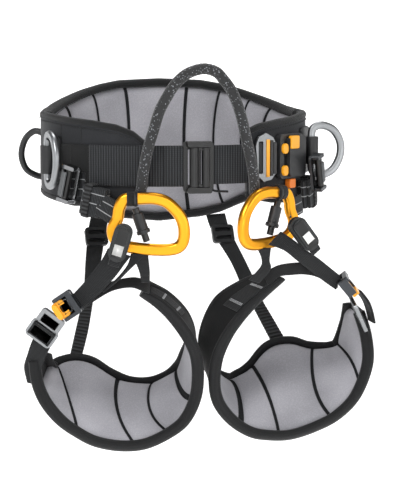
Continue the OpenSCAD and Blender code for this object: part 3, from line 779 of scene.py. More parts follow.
# %% Stitch tree
def stitch_tree():
    """A node tree that sews along a line: inputs for pitch, thread length and thickness."""
    tree = bpy.data.node_groups.new("stitch_row", "GeometryNodeTree")
    face = tree.interface
    face.new_socket("Geometry", in_out="INPUT", socket_type="NodeSocketGeometry")
    for name, default in (("Pitch", 0.004), ("Length", 0.0028), ("Radius", 0.0005)):
        face.new_socket(name, in_out="INPUT", socket_type="NodeSocketFloat").default_value = default
    face.new_socket("Thread", in_out="INPUT", socket_type="NodeSocketMaterial")
    face.new_socket("Geometry", in_out="OUTPUT", socket_type="NodeSocketGeometry")
    source = add_node(tree, "NodeGroupInput")
    curve = add_node(tree, "GeometryNodeMeshToCurve", {"Mesh": source.outputs["Geometry"]})
    spaced = add_node(tree, "GeometryNodeResampleCurve",
                      {"Curve": curve.outputs[0], "Length": source.outputs["Pitch"]}, mode="LENGTH")
    way = add_node(tree, "GeometryNodeInputTangent")
    turn = add_node(tree, "FunctionNodeAlignRotationToVector", {"Vector": way.outputs[0]}, axis="Z")
    thread = add_node(tree, "GeometryNodeMeshCylinder",
                      {"Vertices": 6, "Radius": source.outputs["Radius"],
                       "Depth": source.outputs["Length"]})
    put = add_node(tree, "GeometryNodeInstanceOnPoints",
                   {"Points": spaced.outputs[0], "Instance": thread.outputs["Mesh"],
                    "Rotation": turn.outputs[0]})
    real = add_node(tree, "GeometryNodeRealizeInstances", {0: put.outputs[0]})
    paint = add_node(tree, "GeometryNodeSetMaterial",
                     {"Geometry": real.outputs[0], "Material": source.outputs["Thread"]})
    sink = add_node(tree, "NodeGroupOutput")
    tree.links.new(paint.outputs[0], sink.inputs[0])
    return tree


STITCHES = stitch_tree()


def sew(name, lines, body, slot, thread=None, pitch=4.0, length=2.8, radius=0.45):
    """Sews along several lines of points and leaves one plain mesh riding on its body."""
    points, edges = [], []
    for line in lines:
        first = len(points)
        points += [tuple(p) for p in line]
        edges += [(first + i, first + i + 1) for i in range(len(line) - 1)]
    guide_mesh = bpy.data.meshes.new(name + "_guide")
    guide_mesh.from_pydata(points, edges, [])
    guide = bpy.data.objects.new(name + "_guide", guide_mesh)
    bpy.context.scene.collection.objects.link(guide)
    modifier = guide.modifiers.new("stitches", "NODES")
    modifier.node_group = STITCHES
    sockets = {s.name: s.identifier for s in STITCHES.interface.items_tree
               if s.in_out == "INPUT" and s.item_type == "SOCKET"}
    modifier[sockets["Pitch"]] = pitch * MM
    modifier[sockets["Length"]] = length * MM
    modifier[sockets["Radius"]] = radius * MM
    modifier[sockets["Thread"]] = thread or dark_thread_mat
    bpy.context.view_layer.update()
    graph = bpy.context.evaluated_depsgraph_get()
    mesh = bpy.data.meshes.new_from_object(guide.evaluated_get(graph))
    bpy.data.objects.remove(guide)
    piece = bpy.data.objects.new(name, mesh)
    bpy.context.scene.collection.objects.link(piece)
    return place(piece, body, slot)


# %% Stitching on the belt
def belt_row(start, end, height, off, count=60):
    """A level or edge-following line on the belt. height(angle) is in mm."""
    return [belt_point(a, height(a), off) for a in spread(start, end, count)]


tape_rows = [belt_row(-88, 88, lambda a: edge_height(TOP_EDGE, a) - 8.2, -10.2),
             belt_row(-88, 88, lambda a: edge_height(BOTTOM_EDGE, a) + 8.2, -10.2),
             belt_row(-88, 88, lambda a: edge_height(TOP_EDGE, a) - 8.2, 4.2),
             belt_row(-88, 88, lambda a: edge_height(BOTTOM_EDGE, a) + 8.2, 4.2)]
sew("belt_tape_stitches", tape_rows, "harness", "binding_tape", dark_thread_mat)

wing_rows = []
for angle in (-118, -131):
    low, high = edge_height(BOTTOM_EDGE, angle) + 10, edge_height(TOP_EDGE, angle) - 10
    wing_rows.append([belt_point(angle, z, 3.7) for z in spread(low, high, 12)])
wing_rows.append(belt_row(-157, -94, lambda a: edge_height(TOP_EDGE, a) - 9, 3.9))
wing_rows.append(belt_row(94, 150, lambda a: edge_height(TOP_EDGE, a) - 9, 3.9))
sew("wing_stitches", wing_rows, "harness", "black_fabric", dark_thread_mat)

# %% [markdown]
# ## Waist webbing and its buckle
# The waist strap is one wide ribbed webbing. It runs flat over each wing, passes through the
# buckle, doubles back and lies on itself, which is why the stretch beside the buckle is thicker
# and smoother than the rest.


# %% Waist webbing
def level_strap(name, start, end, z, width, inner, outer, material, count=60, **look):
    """Webbing that lies level on the belt's outer face."""
    angles = spread(min(start, end), max(start, end), count)
    upper = [belt_point(a, z + width / 2) for a in angles]
    lower = [belt_point(a, z - width / 2) for a in angles]
    return band(name, upper, lower, inner, outer, material, **look)


left_waist = level_strap("left_waist_strap", -177.5, -136, 1, 43, 4.4, 6.8, waist_webbing_mat,
                         cells=14)
place(left_waist, "harness", "webbing", "left_waist_webbing")
right_waist = level_strap("right_waist_strap", 150, 172.5, 2, 41, 4.4, 6.8, waist_webbing_mat,
                          cells=14)
place(right_waist, "harness", "webbing", "right_waist_webbing")
doubled = level_strap("doubled_back_strap", -177.5, -169, 1, 41, 6.9, 8.9, waist_webbing_mat, 20)
place(doubled, "harness", "webbing")
# On the left hip the webbing starts under a smooth patch that two seams hold down.
patch = level_strap("left_hip_patch", -136.4, -110, 0, 45, 4.1, 5.6, smooth_webbing_mat, 30)
place(patch, "harness", "webbing")
patch_rows = [[belt_point(a, z, 5.8) for z in spread(-20, 20, 8)] for a in (-125.5, -135.4)]
sew("left_hip_patch_stitches", patch_rows, "harness", "webbing", dark_thread_mat)

# %% [markdown]
# ## Rounding the hard parts
# The buckles, brackets and buttons already have the right shape in CAD, but their edges are
# perfectly sharp, and real castings and mouldings never are. A merged copy of each one gets a
# small bevel, whose highlight is what makes a part look solid.


# %% Bevelled copies
def bevelled(node, body, slot, material, width=0.6, segments=2, name=None):
    """A bevelled copy of a CAD node that stands for it."""
    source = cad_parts[node]
    mesh = source.data.copy()
    work = bmesh.new()
    work.from_mesh(mesh)
    bmesh.ops.remove_doubles(work, verts=work.verts, dist=0.01 * MM)
    bmesh.ops.dissolve_limit(work, angle_limit=math.radians(1.0), verts=work.verts,
                             edges=work.edges)
    for face in work.faces:
        face.smooth = True
    work.to_mesh(mesh)
    work.free()
    piece = bpy.data.objects.new(name or node + "_finished", mesh)
    bpy.context.scene.collection.objects.link(piece)
    mesh.materials.clear()
    mesh.materials.append(material)
    bevel = piece.modifiers.new("bevel", "BEVEL")
    bevel.width = width * MM
    bevel.segments = segments
    bevel.limit_method = "ANGLE"
    bevel.angle_limit = math.radians(32)
    bevel.use_clamp_overlap = True
    weight = piece.modifiers.new("weight", "WEIGHTED_NORMAL")
    weight.keep_sharp = True
    return place(piece, body, slot, node)


def both(node, body, slot, material, width):
    """The same row for the left and the right piece."""
    return [(f"{side}_{node}", body.format(side), slot, material, width)
            for side in ("left", "right")]


HARD_PARTS = [
    ("waist_buckle_frame", "harness", "black_steel", black_steel_mat, 0.8),
    ("waist_buckle_bar", "waist_buckle_bar", "black_steel", black_steel_mat, 0.6),
    ("hip_tongue_plate", "harness", "silver_alloy", silver_mat, 0.8),
    ("hip_buckle_body", "harness", "grey_plastic", grey_nylon_mat, 1.0),
    ("hip_square_button", "hip_square_button", "yellow_plastic", yellow_mat, 0.9),
    ("hip_upper_button", "hip_upper_button", "yellow_plastic", yellow_mat, 0.9),
    ("hip_lower_button", "hip_lower_button", "yellow_plastic", yellow_mat, 0.9),
    ("hip_release_tab", "hip_release_tab", "orange_plastic", orange_mat, 0.9),
    *both("ring_bracket", "harness", "moulded_plastic", nylon_mat, 0.9),
    ("left_adjuster_frame", "harness", "bright_steel", chrome_mat, 0.8),
    ("right_adjuster_frame", "harness", "bright_steel", gunmetal_mat, 0.8),
    *both("adjuster_bar", "{}_adjuster_bar", "black_steel", black_steel_mat, 0.5),
    *both("gate", "{}_gate", "black_steel", black_steel_mat, 0.5),
    *both("gate_sleeve", "{}_gate_sleeve", "moulded_plastic", nylon_mat, 0.7),
    *both("strap_keeper", "harness", "moulded_plastic", keeper_mat, 1.5),
    *both("ladder_lock", "harness", "moulded_plastic", nylon_mat, 0.7),
    *both("leg_buckle", "{}_leg", "silver_alloy", gunmetal_mat, 0.8),
    *both("leg_frame", "{}_leg", "silver_alloy", silver_mat, 0.9),
    *both("leg_lever", "{}_leg_lever", "yellow_plastic", yellow_mat, 0.9),
]
for node, body, slot, material, width in HARD_PARTS:
    bevelled(node, body, slot, material, width)
print("bevelled parts:", len(HARD_PARTS))

# %% [markdown]
# ## Rings and gear loops
# The gated rings are hot-forged: their section is round where rope runs and has a shallow
# groove along each face of the bow. The side rings are thinner, with the same groove. Both are
# one section swept along a closed line. The gear loops are a plain moulded tube.

# %% Gated rings
GATED_LINE = [(28, 26), (14, 26.5), (0, 27), (-13, 24), (-23, 16), (-30, 6), (-33, -6),
              (-32, -17), (-27, -24), (-17, -26.6), (0, -26.5), (16, -25), (30, -22), (39, -15),
              (41, -5), (36, 6), (34, 17)]
RING_PLACES = {"left": ((-43.5, -130, -58), 170), "right": ((79, -120, -55), 32)}


def ring_axes(side):
    """Centre, sideways direction and facing direction of a gated ring."""
    centre, turn = RING_PLACES[side]
    a = math.radians(turn)
    across, facing = (math.cos(a), math.sin(a), 0), (math.sin(a), -math.cos(a), 0)
    return Vector(centre), Vector(across), Vector(facing)


def ring_point(side, x, y, off=0.0):
    """A point on a gated ring's plane, in mm."""
    centre, across, facing = ring_axes(side)
    return centre + across * x + Vector((0, 0, y)) + facing * off


def forged_section(radius, groove):
    """A round bar with a shallow groove on its two faces."""
    section = []
    for i in range(32):
        a = 2 * math.pi * i / 32
        dent = groove * math.exp(-((abs(math.sin(a)) - 1.0) / 0.10) ** 2)
        section.append(((radius * math.cos(a)) * MM, (radius - dent) * 0.94 * math.sin(a) * MM))
    return section


for side in ("left", "right"):
    facing = ring_axes(side)[2]
    line = smooth_line([ring_point(side, x, y) for x, y in GATED_LINE], 8, True)
    ring = tube(side + "_forged_ring", line, forged_section(6.3, 1.1), facing, gold_mat, True)
    place(ring, "harness", "gold_alloy", side + "_gated_ring")

# %% Side rings
SIDE_LINE = [(0, -19), (0, 0), (0, 19), (4, 25.5), (13, 27), (24, 22), (31, 11), (32.5, 0),
             (30, -11), (23, -22), (12, -27), (4, -25.5)]
SIDE_RINGS = {"left": (-113, 5, 282), "right": (113, 12, -4)}
for side, (angle, height, out) in SIDE_RINGS.items():
    foot = belt_point(angle, height, 14) / MM
    a = math.radians(out)
    way, facing = Vector((math.cos(a), math.sin(a), 0)), Vector((-math.sin(a), math.cos(a), 0))
    line = smooth_line([foot + way * x + Vector((0, 0, z)) for x, z in SIDE_LINE], 8, True)
    ring = tube(side + "_tilting_ring", line, forged_section(4.3, 1.0), facing,
                ring_silver_mat, True)
    place(ring, side + "_side_ring", "silver_alloy", side + "_side_ring")

# %% Gear loops
GEAR_LINE = [(146, 10, 31), (154, 13, 32), (163, 21, 23), (167, 27, 6), (162, 33, -10),
             (151, 36, -18), (138, 36, -21)]
REAR_LINE = [(116, 68, 28), (129, 72, 24), (136, 75, 8), (131, 78, -8), (106, 80, -20)]


def mirrored(points):
    return [(-x, y, z) for x, y, z in points]


gear_tubes = [("left_gear_tube", mirrored(GEAR_LINE), ("left_gear_loop",)),
              ("right_gear_tube", GEAR_LINE, ("right_gear_loop",)),
              ("left_rear_gear_tube", mirrored(REAR_LINE), ("rear_gear_loops",)),
              ("right_rear_gear_tube", REAR_LINE, ())]
for name, points, nodes in gear_tubes:
    loop = tube(name, smooth_line(points, 8), round_section(3.5 * MM, 20), Vector((0, 1, 0)),
                nylon_mat)
    place(loop, "harness", "moulded_plastic", *nodes)

# %% [markdown]
# ## Leg loops
# A leg loop is a black shell with grey padding inside, bound with tape on its knee edge and its
# hip edge. It is cut wide under the thigh and narrow over the top. Its two edges are the same
# points as in CAD, so shell, padding and tape all share one surface.

# %% Leg loop edges
KNEE_EDGE = {
    "right": [(197, -78, -165), (205, -82, -193), (206, -85, -224), (192, -87, -259),
              (170, -88, -281), (144, -88, -294), (116, -88, -302), (92, -88, -302),
              (69, -88, -297), (47, -88, -282), (31, -90, -260), (26, -95, -235),
              (29, -102, -206), (41, -110, -179), (60, -115, -155), (82, -118, -134),
              (100, -118, -120)],
    "left": [(-168, -90, -206), (-165, -92, -230), (-156, -95, -252), (-140, -95, -273),
             (-121, -95, -288), (-101, -95, -299), (-74, -95, -305), (-47, -95, -304),
             (-22, -95, -294), (-2, -96, -279), (10, -98, -255), (13, -102, -230),
             (10, -106, -204), (0, -112, -182), (-17, -116, -159), (-34, -119, -143),
             (-52, -120, -132)]}
HIP_EDGE = {
    "right": [(199, -20, -163), (200, 0, -189), (192, 5, -214), (182, 8, -219),
              (168, 8, -218), (152, 8, -215), (135, 8, -209), (112, 8, -213),
              (92, 5, -235), (77, 2, -246), (59, -5, -250), (35, -20, -235),
              (23, -40, -203), (23, -62, -171), (33, -80, -143), (54, -95, -125),
              (78, -106, -113)],
    "left": [(-150, -45, -204), (-146, -25, -219), (-138, -5, -230), (-127, 0, -224),
             (-112, 2, -221), (-95, 4, -225), (-75, 4, -239), (-52, 4, -250),
             (-27, 4, -252), (-5, 2, -244), (7, -6, -230), (11, -25, -212),
             (13, -45, -196), (9, -62, -177), (-2, -80, -156), (-22, -95, -135),
             (-45, -108, -120)]}
# A seam's place along the loop at the knee edge, the middle and the hip edge.
LEG_SEAMS = {"right": [(2.7, 2.2, 2.0), (4.3, 4.8, 4.4), (6.6, 7.2, 8.1), (8.4, 8.8, 10.0)],
             "left": [(4.0, 3.3, 2.3), (6.6, 6.1, 6.5), (8.1, 7.6, 8.1), (10.0, 9.4, 9.6)]}
# The loop's outward side is along the band's normal on the right, and against it on the left.
OUTWARD = {"left": -1, "right": 1}
# The share of the loop, from its buckle end, that webbing covers before the padding starts.
PAD_START = {"left": 0.085, "right": 0.02}


# %% Leg loop pieces
def leg_surface(side, begin=0.0):
    """The pad's seat: u runs along the loop and v from the knee edge to the hip edge."""
    knee = smooth_line(KNEE_EDGE[side], 14)
    hip = smooth_line(HIP_EDGE[side], 14)
    ways = tangents([(a + b) / 2 for a, b in zip(knee, hip)])

    def surface(u, v):
        spot = (begin + (1 - begin) * u) * (len(knee) - 1)
        i = min(int(spot), len(knee) - 2)
        t = spot - i
        a, b = knee[i].lerp(knee[i + 1], t), hip[i].lerp(hip[i + 1], t)
        inward = ways[i].lerp(ways[i + 1], t).cross(b - a).normalized() * -OUTWARD[side]
        share = 0.045 + 0.91 * v
        return a.lerp(b, share), inward

    return surface


def leg_band(name, side, low, high, inner, outer, material, **look):
    """A band that takes part of a leg loop's width, from low to high (0 to 1)."""
    knee = smooth_line(KNEE_EDGE[side], 8)
    hip = smooth_line(HIP_EDGE[side], 8)
    lower = [a.lerp(b, low) for a, b in zip(knee, hip)]
    upper = [a.lerp(b, high) for a, b in zip(knee, hip)]
    sign = OUTWARD[side]
    return band(name, lower, upper, sign * inner, sign * outer, material, **look)


def edge_cord(name, side, edge, width, inner, outer):
    """Binding tape of a fixed width along one edge of a leg loop."""
    knee = smooth_line(KNEE_EDGE[side], 8)
    hip = smooth_line(HIP_EDGE[side], 8)
    sign = OUTWARD[side]
    if edge == "knee":
        lower = [a - (b - a).normalized() * 0.5 * MM for a, b in zip(knee, hip)]
        upper = [a + (b - a).normalized() * width * MM for a, b in zip(knee, hip)]
    else:
        lower = [b - (b - a).normalized() * width * MM for a, b in zip(knee, hip)]
        upper = [b + (b - a).normalized() * 0.5 * MM for a, b in zip(knee, hip)]
    return band(name, lower, upper, sign * inner, sign * outer, tape_mat, cells=3, rounding=3.4)


for side in ("left", "right"):
    body = side + "_leg"
    cover = leg_band(side + "_leg_cover", side, 0.02, 0.98, 0.0, 3.0, shell_mat, cells=14,
                     rounding=2)
    place(cover, body, "black_fabric", side + "_leg_shell")
    last, begin = len(KNEE_EDGE[side]) - 1, PAD_START[side]
    seams = [tuple((s / last - begin) / (1 - begin) for s in seam) for seam in LEG_SEAMS[side]]
    pad, pins = quilted(side + "_leg_pad", leg_surface(side, begin), 24, seams,
                        depth=6.4, crown=2.8, groove=4.2)
    puff(pad, pins)
    subdivide_once(pad)
    place(pad, body, "grey_padding", side + "_leg_padding")
    place(edge_cord(side + "_knee_tape", side, "knee", 9, -9.4, 3.6), body, "binding_tape")
    place(edge_cord(side + "_hip_tape", side, "hip", 7, -9.4, 3.6), body, "binding_tape")

# %% [markdown]
# ## Sewn patches
# On the front of each loop a piece of webbing is sewn over the shell, where the strap to the
# ring pulls. Two close zigzag seams hold it. A short band on the loop's own surface follows the
# curve, and the stitch tree makes the seams.

# %% Sewn patches on the fronts of the loops
def leg_patch(name, side, first, last, low, high, off):
    """Webbing sewn on the outside of a loop, between two places along it and across it."""
    surface = leg_surface(side)
    lines = [[surface(u, v)[0] for u in spread(first, last, 16)] for v in (low, high)]
    sign = OUTWARD[side]
    return band(name, *lines, sign * off, sign * (off + 1.4), webbing_mat, cells=8)


PATCHES = {"right": (0.865, 0.985, 0.12, 0.62), "left": (0.87, 0.985, 0.10, 0.60)}
for side, (first, last, low, high) in PATCHES.items():
    place(leg_patch(side + "_front_patch", side, first, last, low, high, 3.0), side + "_leg",
          "webbing")
    surface = leg_surface(side)
    bars = []
    for u in (first + 0.018, last - 0.045):
        for step in range(3):
            row = []
            for v in spread(low + 0.06, high - 0.06, 10):
                base, inward = surface(u + step * 0.0022, v)
                row.append(base - inward * 4.6 * MM)
            bars.append(row)
    sew(side + "_patch_bartacks", bars, side + "_leg", "webbing", thread_mat, 1.6, 1.3, 0.3)

# %% [markdown]
# ## Leg straps and risers
# Narrow webbing closes each leg loop over the top, and two straps hang the loop from its ring.
# Behind, a riser runs from the belt to the back of the loop: webbing, a ladder lock, then
# ribbed elastic. The riser crosses the leg's joint, so it rides on no body and is left where it
# lies.

# %% Leg straps
LEG_STRAPS = {
    "left": [
        ([(-46, -125, -131), (-51, -127, -129), (-65, -125, -124), (-84, -124, -127),
          (-100, -122, -136), (-117, -120, -148)],
         [(-44, -117, -118), (-51, -119, -116), (-63, -118, -114), (-82, -119, -117),
          (-103, -119, -125), (-124, -117, -136)], "ribbed"),
        ([(-66, -130, -91), (-73, -130, -100), (-82, -129, -112), (-95, -126, -127),
          (-112, -122, -143), (-118, -122, -148)],
         [(-90, -131, -82), (-95, -130, -92), (-102, -129, -102), (-112, -126, -115),
          (-124, -121, -129), (-130, -121, -134)], "flat"),
        ([(-65, -128, -89), (-61, -128, -98), (-57, -127, -108), (-55, -126, -119)],
         [(-48, -128, -89), (-47, -128, -98), (-46, -127, -108), (-46, -126, -119)], "flat"),
        ([(-66, -129, -88), (-70, -129, -100), (-82, -127, -115), (-96, -124, -128)],
         [(-50, -129, -89), (-60, -129, -98), (-72, -127, -108), (-84, -124, -119)], "flat"),
        ([(-138, -107, -168), (-146, -103, -184), (-154, -97, -202), (-158, -93, -216),
          (-158, -92, -232)],
         [(-156, -99, -162), (-166, -93, -181), (-172, -85, -200), (-175, -80, -214),
          (-172, -82, -230)], "flat")],
    "right": [
        ([(83, -118, -128), (93, -121, -118), (107, -122, -116), (122, -121, -116),
          (137, -117, -120), (161, -109, -133)],
         [(76, -118, -115), (90, -121, -106), (105, -122, -103), (122, -121, -103),
          (138, -117, -107), (161, -109, -119)], "ribbed"),
        ([(93, -129, -68), (105, -131, -76), (119, -129, -87), (135, -123, -98),
          (153, -115, -112), (162, -111, -119)],
         [(80, -128, -82), (96, -130, -88), (109, -128, -98), (123, -124, -109),
          (140, -118, -122), (157, -112, -134)], "flat"),
        ([(68, -129, -86), (73, -127, -97), (72, -126, -106), (60, -124, -120)],
         [(83, -129, -86), (82, -127, -99), (83, -127, -109), (72, -122, -124)], "flat"),
        ([(190, -100, -138), (200, -96, -150), (206, -91, -162), (210, -88, -176)],
         [(190, -72, -138), (200, -68, -150), (206, -64, -162), (210, -62, -176)], "flat")]}
for side in ("left", "right"):
    sign = -OUTWARD[side]
    for number, (edge_a, edge_b, weave) in enumerate(LEG_STRAPS[side]):
        inner, outer = (0.0, 2.4) if sign > 0 else (-2.4, 0.0)
        piece = strap(f"{side}_leg_strap_{number + 1}", edge_a, edge_b, inner, outer,
                      tape_mat if weave == "ribbed" else webbing_mat)
        place(piece, side + "_leg", "webbing", *([side + "_leg_straps"] if number == 0 else []))

# %% Rear risers
RISERS = {
    "left": ([(-82, 98, -70), (-88, 78, -88), (-93, 60, -118), (-97, 44, -151), (-100, 38, -163)],
             [(-60, 104, -71), (-67, 80, -90), (-75, 60, -119), (-83, 44, -151), (-87, 38, -163)],
             [(-100, 38, -162), (-101, 36, -167), (-109, 20, -192), (-118, 2, -220)],
             [(-87, 38, -162), (-88, 36, -167), (-95, 20, -195), (-105, 2, -223)]),
    "right": ([(55, 104, -73), (60, 88, -92), (78, 66, -125), (89, 46, -156), (95, 38, -168)],
              [(77, 98, -71), (81, 86, -90), (95, 66, -123), (106, 46, -152), (110, 38, -166)],
              [(95, 38, -167), (97, 36, -171), (105, 22, -190), (114, 9, -210)],
              [(110, 38, -165), (111, 36, -169), (120, 22, -187), (130, 9, -207)])}
for side, (strap_a, strap_b, elastic_a, elastic_b) in RISERS.items():
    top, low = Vector(strap_a[0]) * MM, Vector(elastic_a[-1]) * MM
    riser = strap(side + "_riser_webbing", strap_a, strap_b, -2.4, 0.0, webbing_mat)
    ribbed = strap(side + "_riser_ribs", elastic_a, elastic_b, -4.0, 0.6, elastic_mat, 24,
                   ribs=(4.2 * MM, 0.55))
    for piece, slot, node in ((riser, "webbing", side + "_riser_strap"),
                              (ribbed, "elastic", side + "_riser_elastic")):
        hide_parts(node)
        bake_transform(piece)
        print(f"{piece.name}: bends between the belt and the {side} leg loop")

# %% [markdown]
# ## Side straps
# On each hip a strap leaves the belt, doubles back through a chromed adjuster, and its spare
# length is folded into a bundle under an elastic keeper. From the bundle one strap, with two
# light tracer threads, runs on to the gated ring.

# %% Side straps
def belt_frame(angle, z, off, turn=0.0):
    """A place on the belt: x to the viewer's right, y up and z outwards, then turned (deg)."""
    normal = belt_normal(angle)
    return (Matrix.Translation(belt_point(angle, z, off))
            @ Matrix.Rotation(math.atan2(normal.x, -normal.y), 4, "Z")
            @ Matrix.Rotation(math.pi / 2, 4, "X") @ Matrix.Rotation(math.radians(turn), 4, "Z"))


SIDE_RUNS = {
    "left": ([(-95, -106, -25), (-90, -109, -28), (-82, -114, -32), (-73, -120, -38)],
             [(-100, -106, -49), (-95, -108, -52), (-88, -114, -57), (-80, -120, -62)]),
    "right": ([(122, -89, -33), (115, -96, -35), (109, -101, -36), (104, -104, -37)],
              [(125, -89, -53), (119, -96, -55), (113, -101, -56), (108, -104, -57)])}
ROOTS = {"left": (-134, -119, -20, 26), "right": (101, 112, -28, 20)}
for side, (start, end, z, width) in ROOTS.items():
    root_strap = level_strap(side + "_belt_side_strap", start, end, z, width, 5.7, 8.1,
                             side_webbing_mat, 20)
    place(root_strap, "harness", "webbing", side + "_side_strap")
    offsets = (-2.4, 0.0) if side == "left" else (0.0, 2.4)
    run = strap(side + "_ring_side_strap", *SIDE_RUNS[side], *offsets, side_webbing_mat)
    place(run, "harness", "webbing")


def strap_in_frame(name, place_at, path, width, material, thick=2.4, steps=5, **look):
    """Webbing that follows a path of (x, z) pairs in mm, seen edge on, in a placed frame."""
    edges = [[place_at @ (Vector((x, y, z)) * MM) / MM for x, z in path]
             for y in (width / 2, -width / 2)]
    return strap(name, *edges, -thick / 2, thick / 2, material, steps, **look)


# %% Folded bundles and their elastic
BUNDLES = {"left": (-140, -36, 7.4, -12, 26, 31), "right": (117.5, -34, 4.6, 12, 20, 31)}
FOLD_PITCH = 3.7
for side, (angle, z, off, lean, length, width) in BUNDLES.items():
    spot = belt_frame(angle, z, off + 1.6, lean)
    reach = (length - FOLD_PITCH) / 2
    path = []
    for layer in range(4):
        way = -1 if layer % 2 else 1
        level = layer * FOLD_PITCH
        path += [(-way * reach, level), (0, level + 0.2), (way * reach, level)]
        if layer < 3:
            path.append((way * (reach + FOLD_PITCH / 2), level + FOLD_PITCH / 2))
    bundle = strap_in_frame(side + "_folded_strap", spot, path, width, side_webbing_mat, 2.9)
    place(bundle, "harness", "webbing", side + "_strap_bundle")
    shift = 5 if side == "right" else -5
    half = width / 2 + 1.6
    top = 3 * FOLD_PITCH + 3.4
    loop = [(-half, -1), (-half, top / 2), (-half + 1.5, top - 1), (0, top), (half - 1.5, top - 1),
            (half, top / 2), (half, -1)]
    edges = [[spot @ (Vector((shift + w, y, h)) * MM) / MM for y, h in loop] for w in (-4, 4)]
    elastic = strap(side + "_bundle_band", *edges, -0.7, 0.7, elastic_mat, 5)
    place(elastic, "harness", "elastic", side + "_bundle_elastic")

# %% Webbing through the adjusters
ADJUSTERS = {"left": (-128, -19, 12, -14), "right": (119.5, -11, 21.6, 14)}
CURL = [(-13, 0), (-11, 5), (-6.5, 9.5), (-4.6, 12.6), (-0.5, 13.4), (1, 12.6)]
for side, (angle, z, off, lean) in ADJUSTERS.items():
    spot = belt_frame(angle, z, off, lean)
    path = [(x, h) if side == "left" else (-x, h * 0.86) for x, h in CURL]
    width = 27 if side == "left" else 22
    curl = strap_in_frame(side + "_adjuster_curl", spot, path, width, grey_webbing_mat, 1.8)
    place(curl, "harness", "webbing")

# %% Details on the hip buckle and keepers
def slab(name, place_at, centre, size, body, slot, material, edge=0.5):
    """A small box with rounded edges, in a placed frame. Centre and size are in mm."""
    work = bmesh.new()
    bmesh.ops.create_cube(work, size=1.0)
    for vertex in work.verts:
        vertex.co = place_at @ (Vector([c + v * s for c, v, s in
                                        zip(centre, vertex.co, size)]) * MM)
    bmesh.ops.bevel(work, geom=work.edges[:], offset=edge * MM, segments=3, profile=0.5,
                    affect="EDGES")
    bmesh.ops.recalc_face_normals(work, faces=work.faces)
    mesh = bpy.data.meshes.new(name)
    work.to_mesh(mesh)
    work.free()
    mesh.shade_smooth()
    mesh.materials.append(material)
    piece = bpy.data.objects.new(name, mesh)
    bpy.context.scene.collection.objects.link(piece)
    return place(piece, body, slot)


tongue = belt_frame(146, 8, 6)
slab("tongue_slot_webbing", tongue, (-9, 0, 1.2), (5.4, 32, 1.6), "harness", "webbing", wrap_mat)
slab("tongue_yellow_strip", tongue, (0.5, -1, 3.2), (4.6, 40, 1.6), "harness", "yellow_plastic",
     yellow_mat, 0.7)
slab("tongue_black_band", tongue, (5.2, -1, 3.4), (4.2, 38, 2.2), "harness", "moulded_plastic",
     nylon_mat, 0.8)
slab("tongue_grey_band", tongue, (10.0, -1, 3.2), (4.6, 34, 2.4), "harness", "grey_plastic",
     grey_nylon_mat, 0.8)

# The tongue drops into a slot in the body, and the two ovals stand in that slot. A black block
# fills the slot as painted shade of its inside.
hip_body = belt_frame(131, 9, 4.3)
slab("hip_slot_painted_shade", hip_body, (-14.5, -3.5, 3.2), (10.6, 40, 6.2), "harness", "moulded_plastic",
     black_steel_mat, 1.2)

KEEPERS = {"left": ((-78, -140, -75), -10, -17, -7.5), "right": ((114, -136, -70), 12, 38, -4)}
for side, (centre, turn, lean, along) in KEEPERS.items():
    spot = (Matrix.Translation(Vector(centre) * MM) @ Matrix.Rotation(math.radians(turn), 4, "Z")
            @ Matrix.Rotation(math.pi / 2, 4, "X") @ Matrix.Rotation(math.radians(lean), 4, "Z"))
    # A black slab on the keeper's face is painted shade of its recessed face.
    slab(side + "_keeper_face_painted_shade", spot, (0, 0, 11.1), (11.4, 31, 0.9), "harness",
         "moulded_plastic", black_steel_mat, 0.4)
    slab(side + "_keeper_patch", spot, (0, along, 11.6), (9.2, 10.4, 1.0), "harness",
         "moulded_plastic", white_mat, 0.4)
    tail = ((14, 5), (0, 5), (-20, 5), (-25, 3.5))
    edges = [[spot @ (Vector((w, y, z)) * MM) / MM for y, z in tail] for w in (-6, 6)]
    place(strap(side + "_keeper_tail", *edges, -1.4, 1.4, webbing_mat), "harness", "webbing")
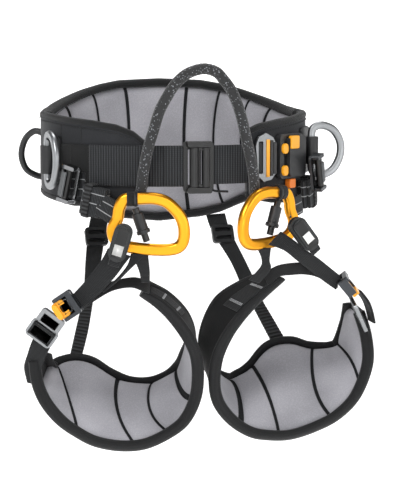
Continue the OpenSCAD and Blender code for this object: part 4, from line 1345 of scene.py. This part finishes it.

# %% [markdown]
# ## Webbing in the leg buckles
# The strap wraps round the crossbars of each open frame, and its folds fill the two windows.
# Only the rounded tops of the folds can be seen, so one soft-edged block fills each window. A
# black slab of painted shadow under the frame and a pivot block under the lever give the buckle its
# depth.

# %% Webbing through the leg frames
BUCKLE_PLACES = {
    "left": (Matrix.Translation(Vector((-131, -121, -141.5)) * MM)
             @ Matrix.Rotation(math.radians(-14), 4, "Z") @ Matrix.Rotation(math.pi / 2, 4, "X")
             @ Matrix.Rotation(math.radians(214), 4, "Z")),
    "right": (Matrix.Translation(Vector((167, -107, -133)) * MM)
              @ Matrix.Rotation(math.radians(50), 4, "Y")
              @ Matrix.Rotation(math.radians(14), 4, "X"))}
for side, buckle in BUCKLE_PLACES.items():
    frame_place = (buckle @ Matrix.Translation(Vector((14.6, 0, 0)) * MM)
                   @ Matrix.Rotation(math.radians(20), 4, "Z")
                   @ Matrix.Rotation(math.radians(16), 4, "Y")
                   @ Matrix.Translation(Vector((22, 0, -2)) * MM))
    slab(side + "_frame_upper_wrap", frame_place, (-9, 0, 1.4), (9.6, 18, 3.4), side + "_leg",
         "webbing", wrap_mat, 1.2)
    slab(side + "_frame_lower_wrap", frame_place, (7, 0, 2.6), (11.4, 22, 6.4), side + "_leg",
         "webbing", wrap_mat, 2.4)
    # A silver pivot block between the buckle's cheeks, behind the lever's fork.
    slab(side + "_buckle_pivot", buckle, (1.5, 0, 5.2), (8, 12, 4.4), side + "_leg",
         "silver_alloy", silver_mat, 1.2)
    # A black slab under the frame is painted shadow.
    slab(side + "_buckle_shadow", buckle, (-0.5, 0, 3.2), (14, 19.4, 1.2), side + "_leg",
         "moulded_plastic", black_steel_mat, 0.5)

# %% Sewn eyes round the rings' top bars
for side in ("left", "right"):
    facing = ring_axes(side)[2]
    for number, (start, end, radius) in enumerate((((26, 26.2), (15, 26.4), 7.7),
                                                   ((18.5, 26.3), (16.5, 26.4), 8.3))):
        line = [ring_point(side, *start) * MM, ring_point(side, *[(a + b) / 2 for a, b in
                zip(start, end)]) * MM, ring_point(side, *end) * MM]
        eye = tube(f"{side}_rope_eye_{number + 1}", line, round_section(radius * MM, 28), facing,
                   tape_mat if number == 0 else nylon_mat)
        place(eye, "harness", "rope")

# %% Pull cord
PULL_LINE = [(19, -120, -23), (24, -122, -25), (30, -122, -25.5), (38, -121, -26)]
pull = tube("waist_pull", smooth_line(PULL_LINE, 6), round_section(1.2 * MM, 12),
            Vector((0, 0, 1)), tape_mat)
place(pull, "harness", "elastic", "waist_pull_cord")

# %% Print the CAD box
print("CAD box:", cad_box)
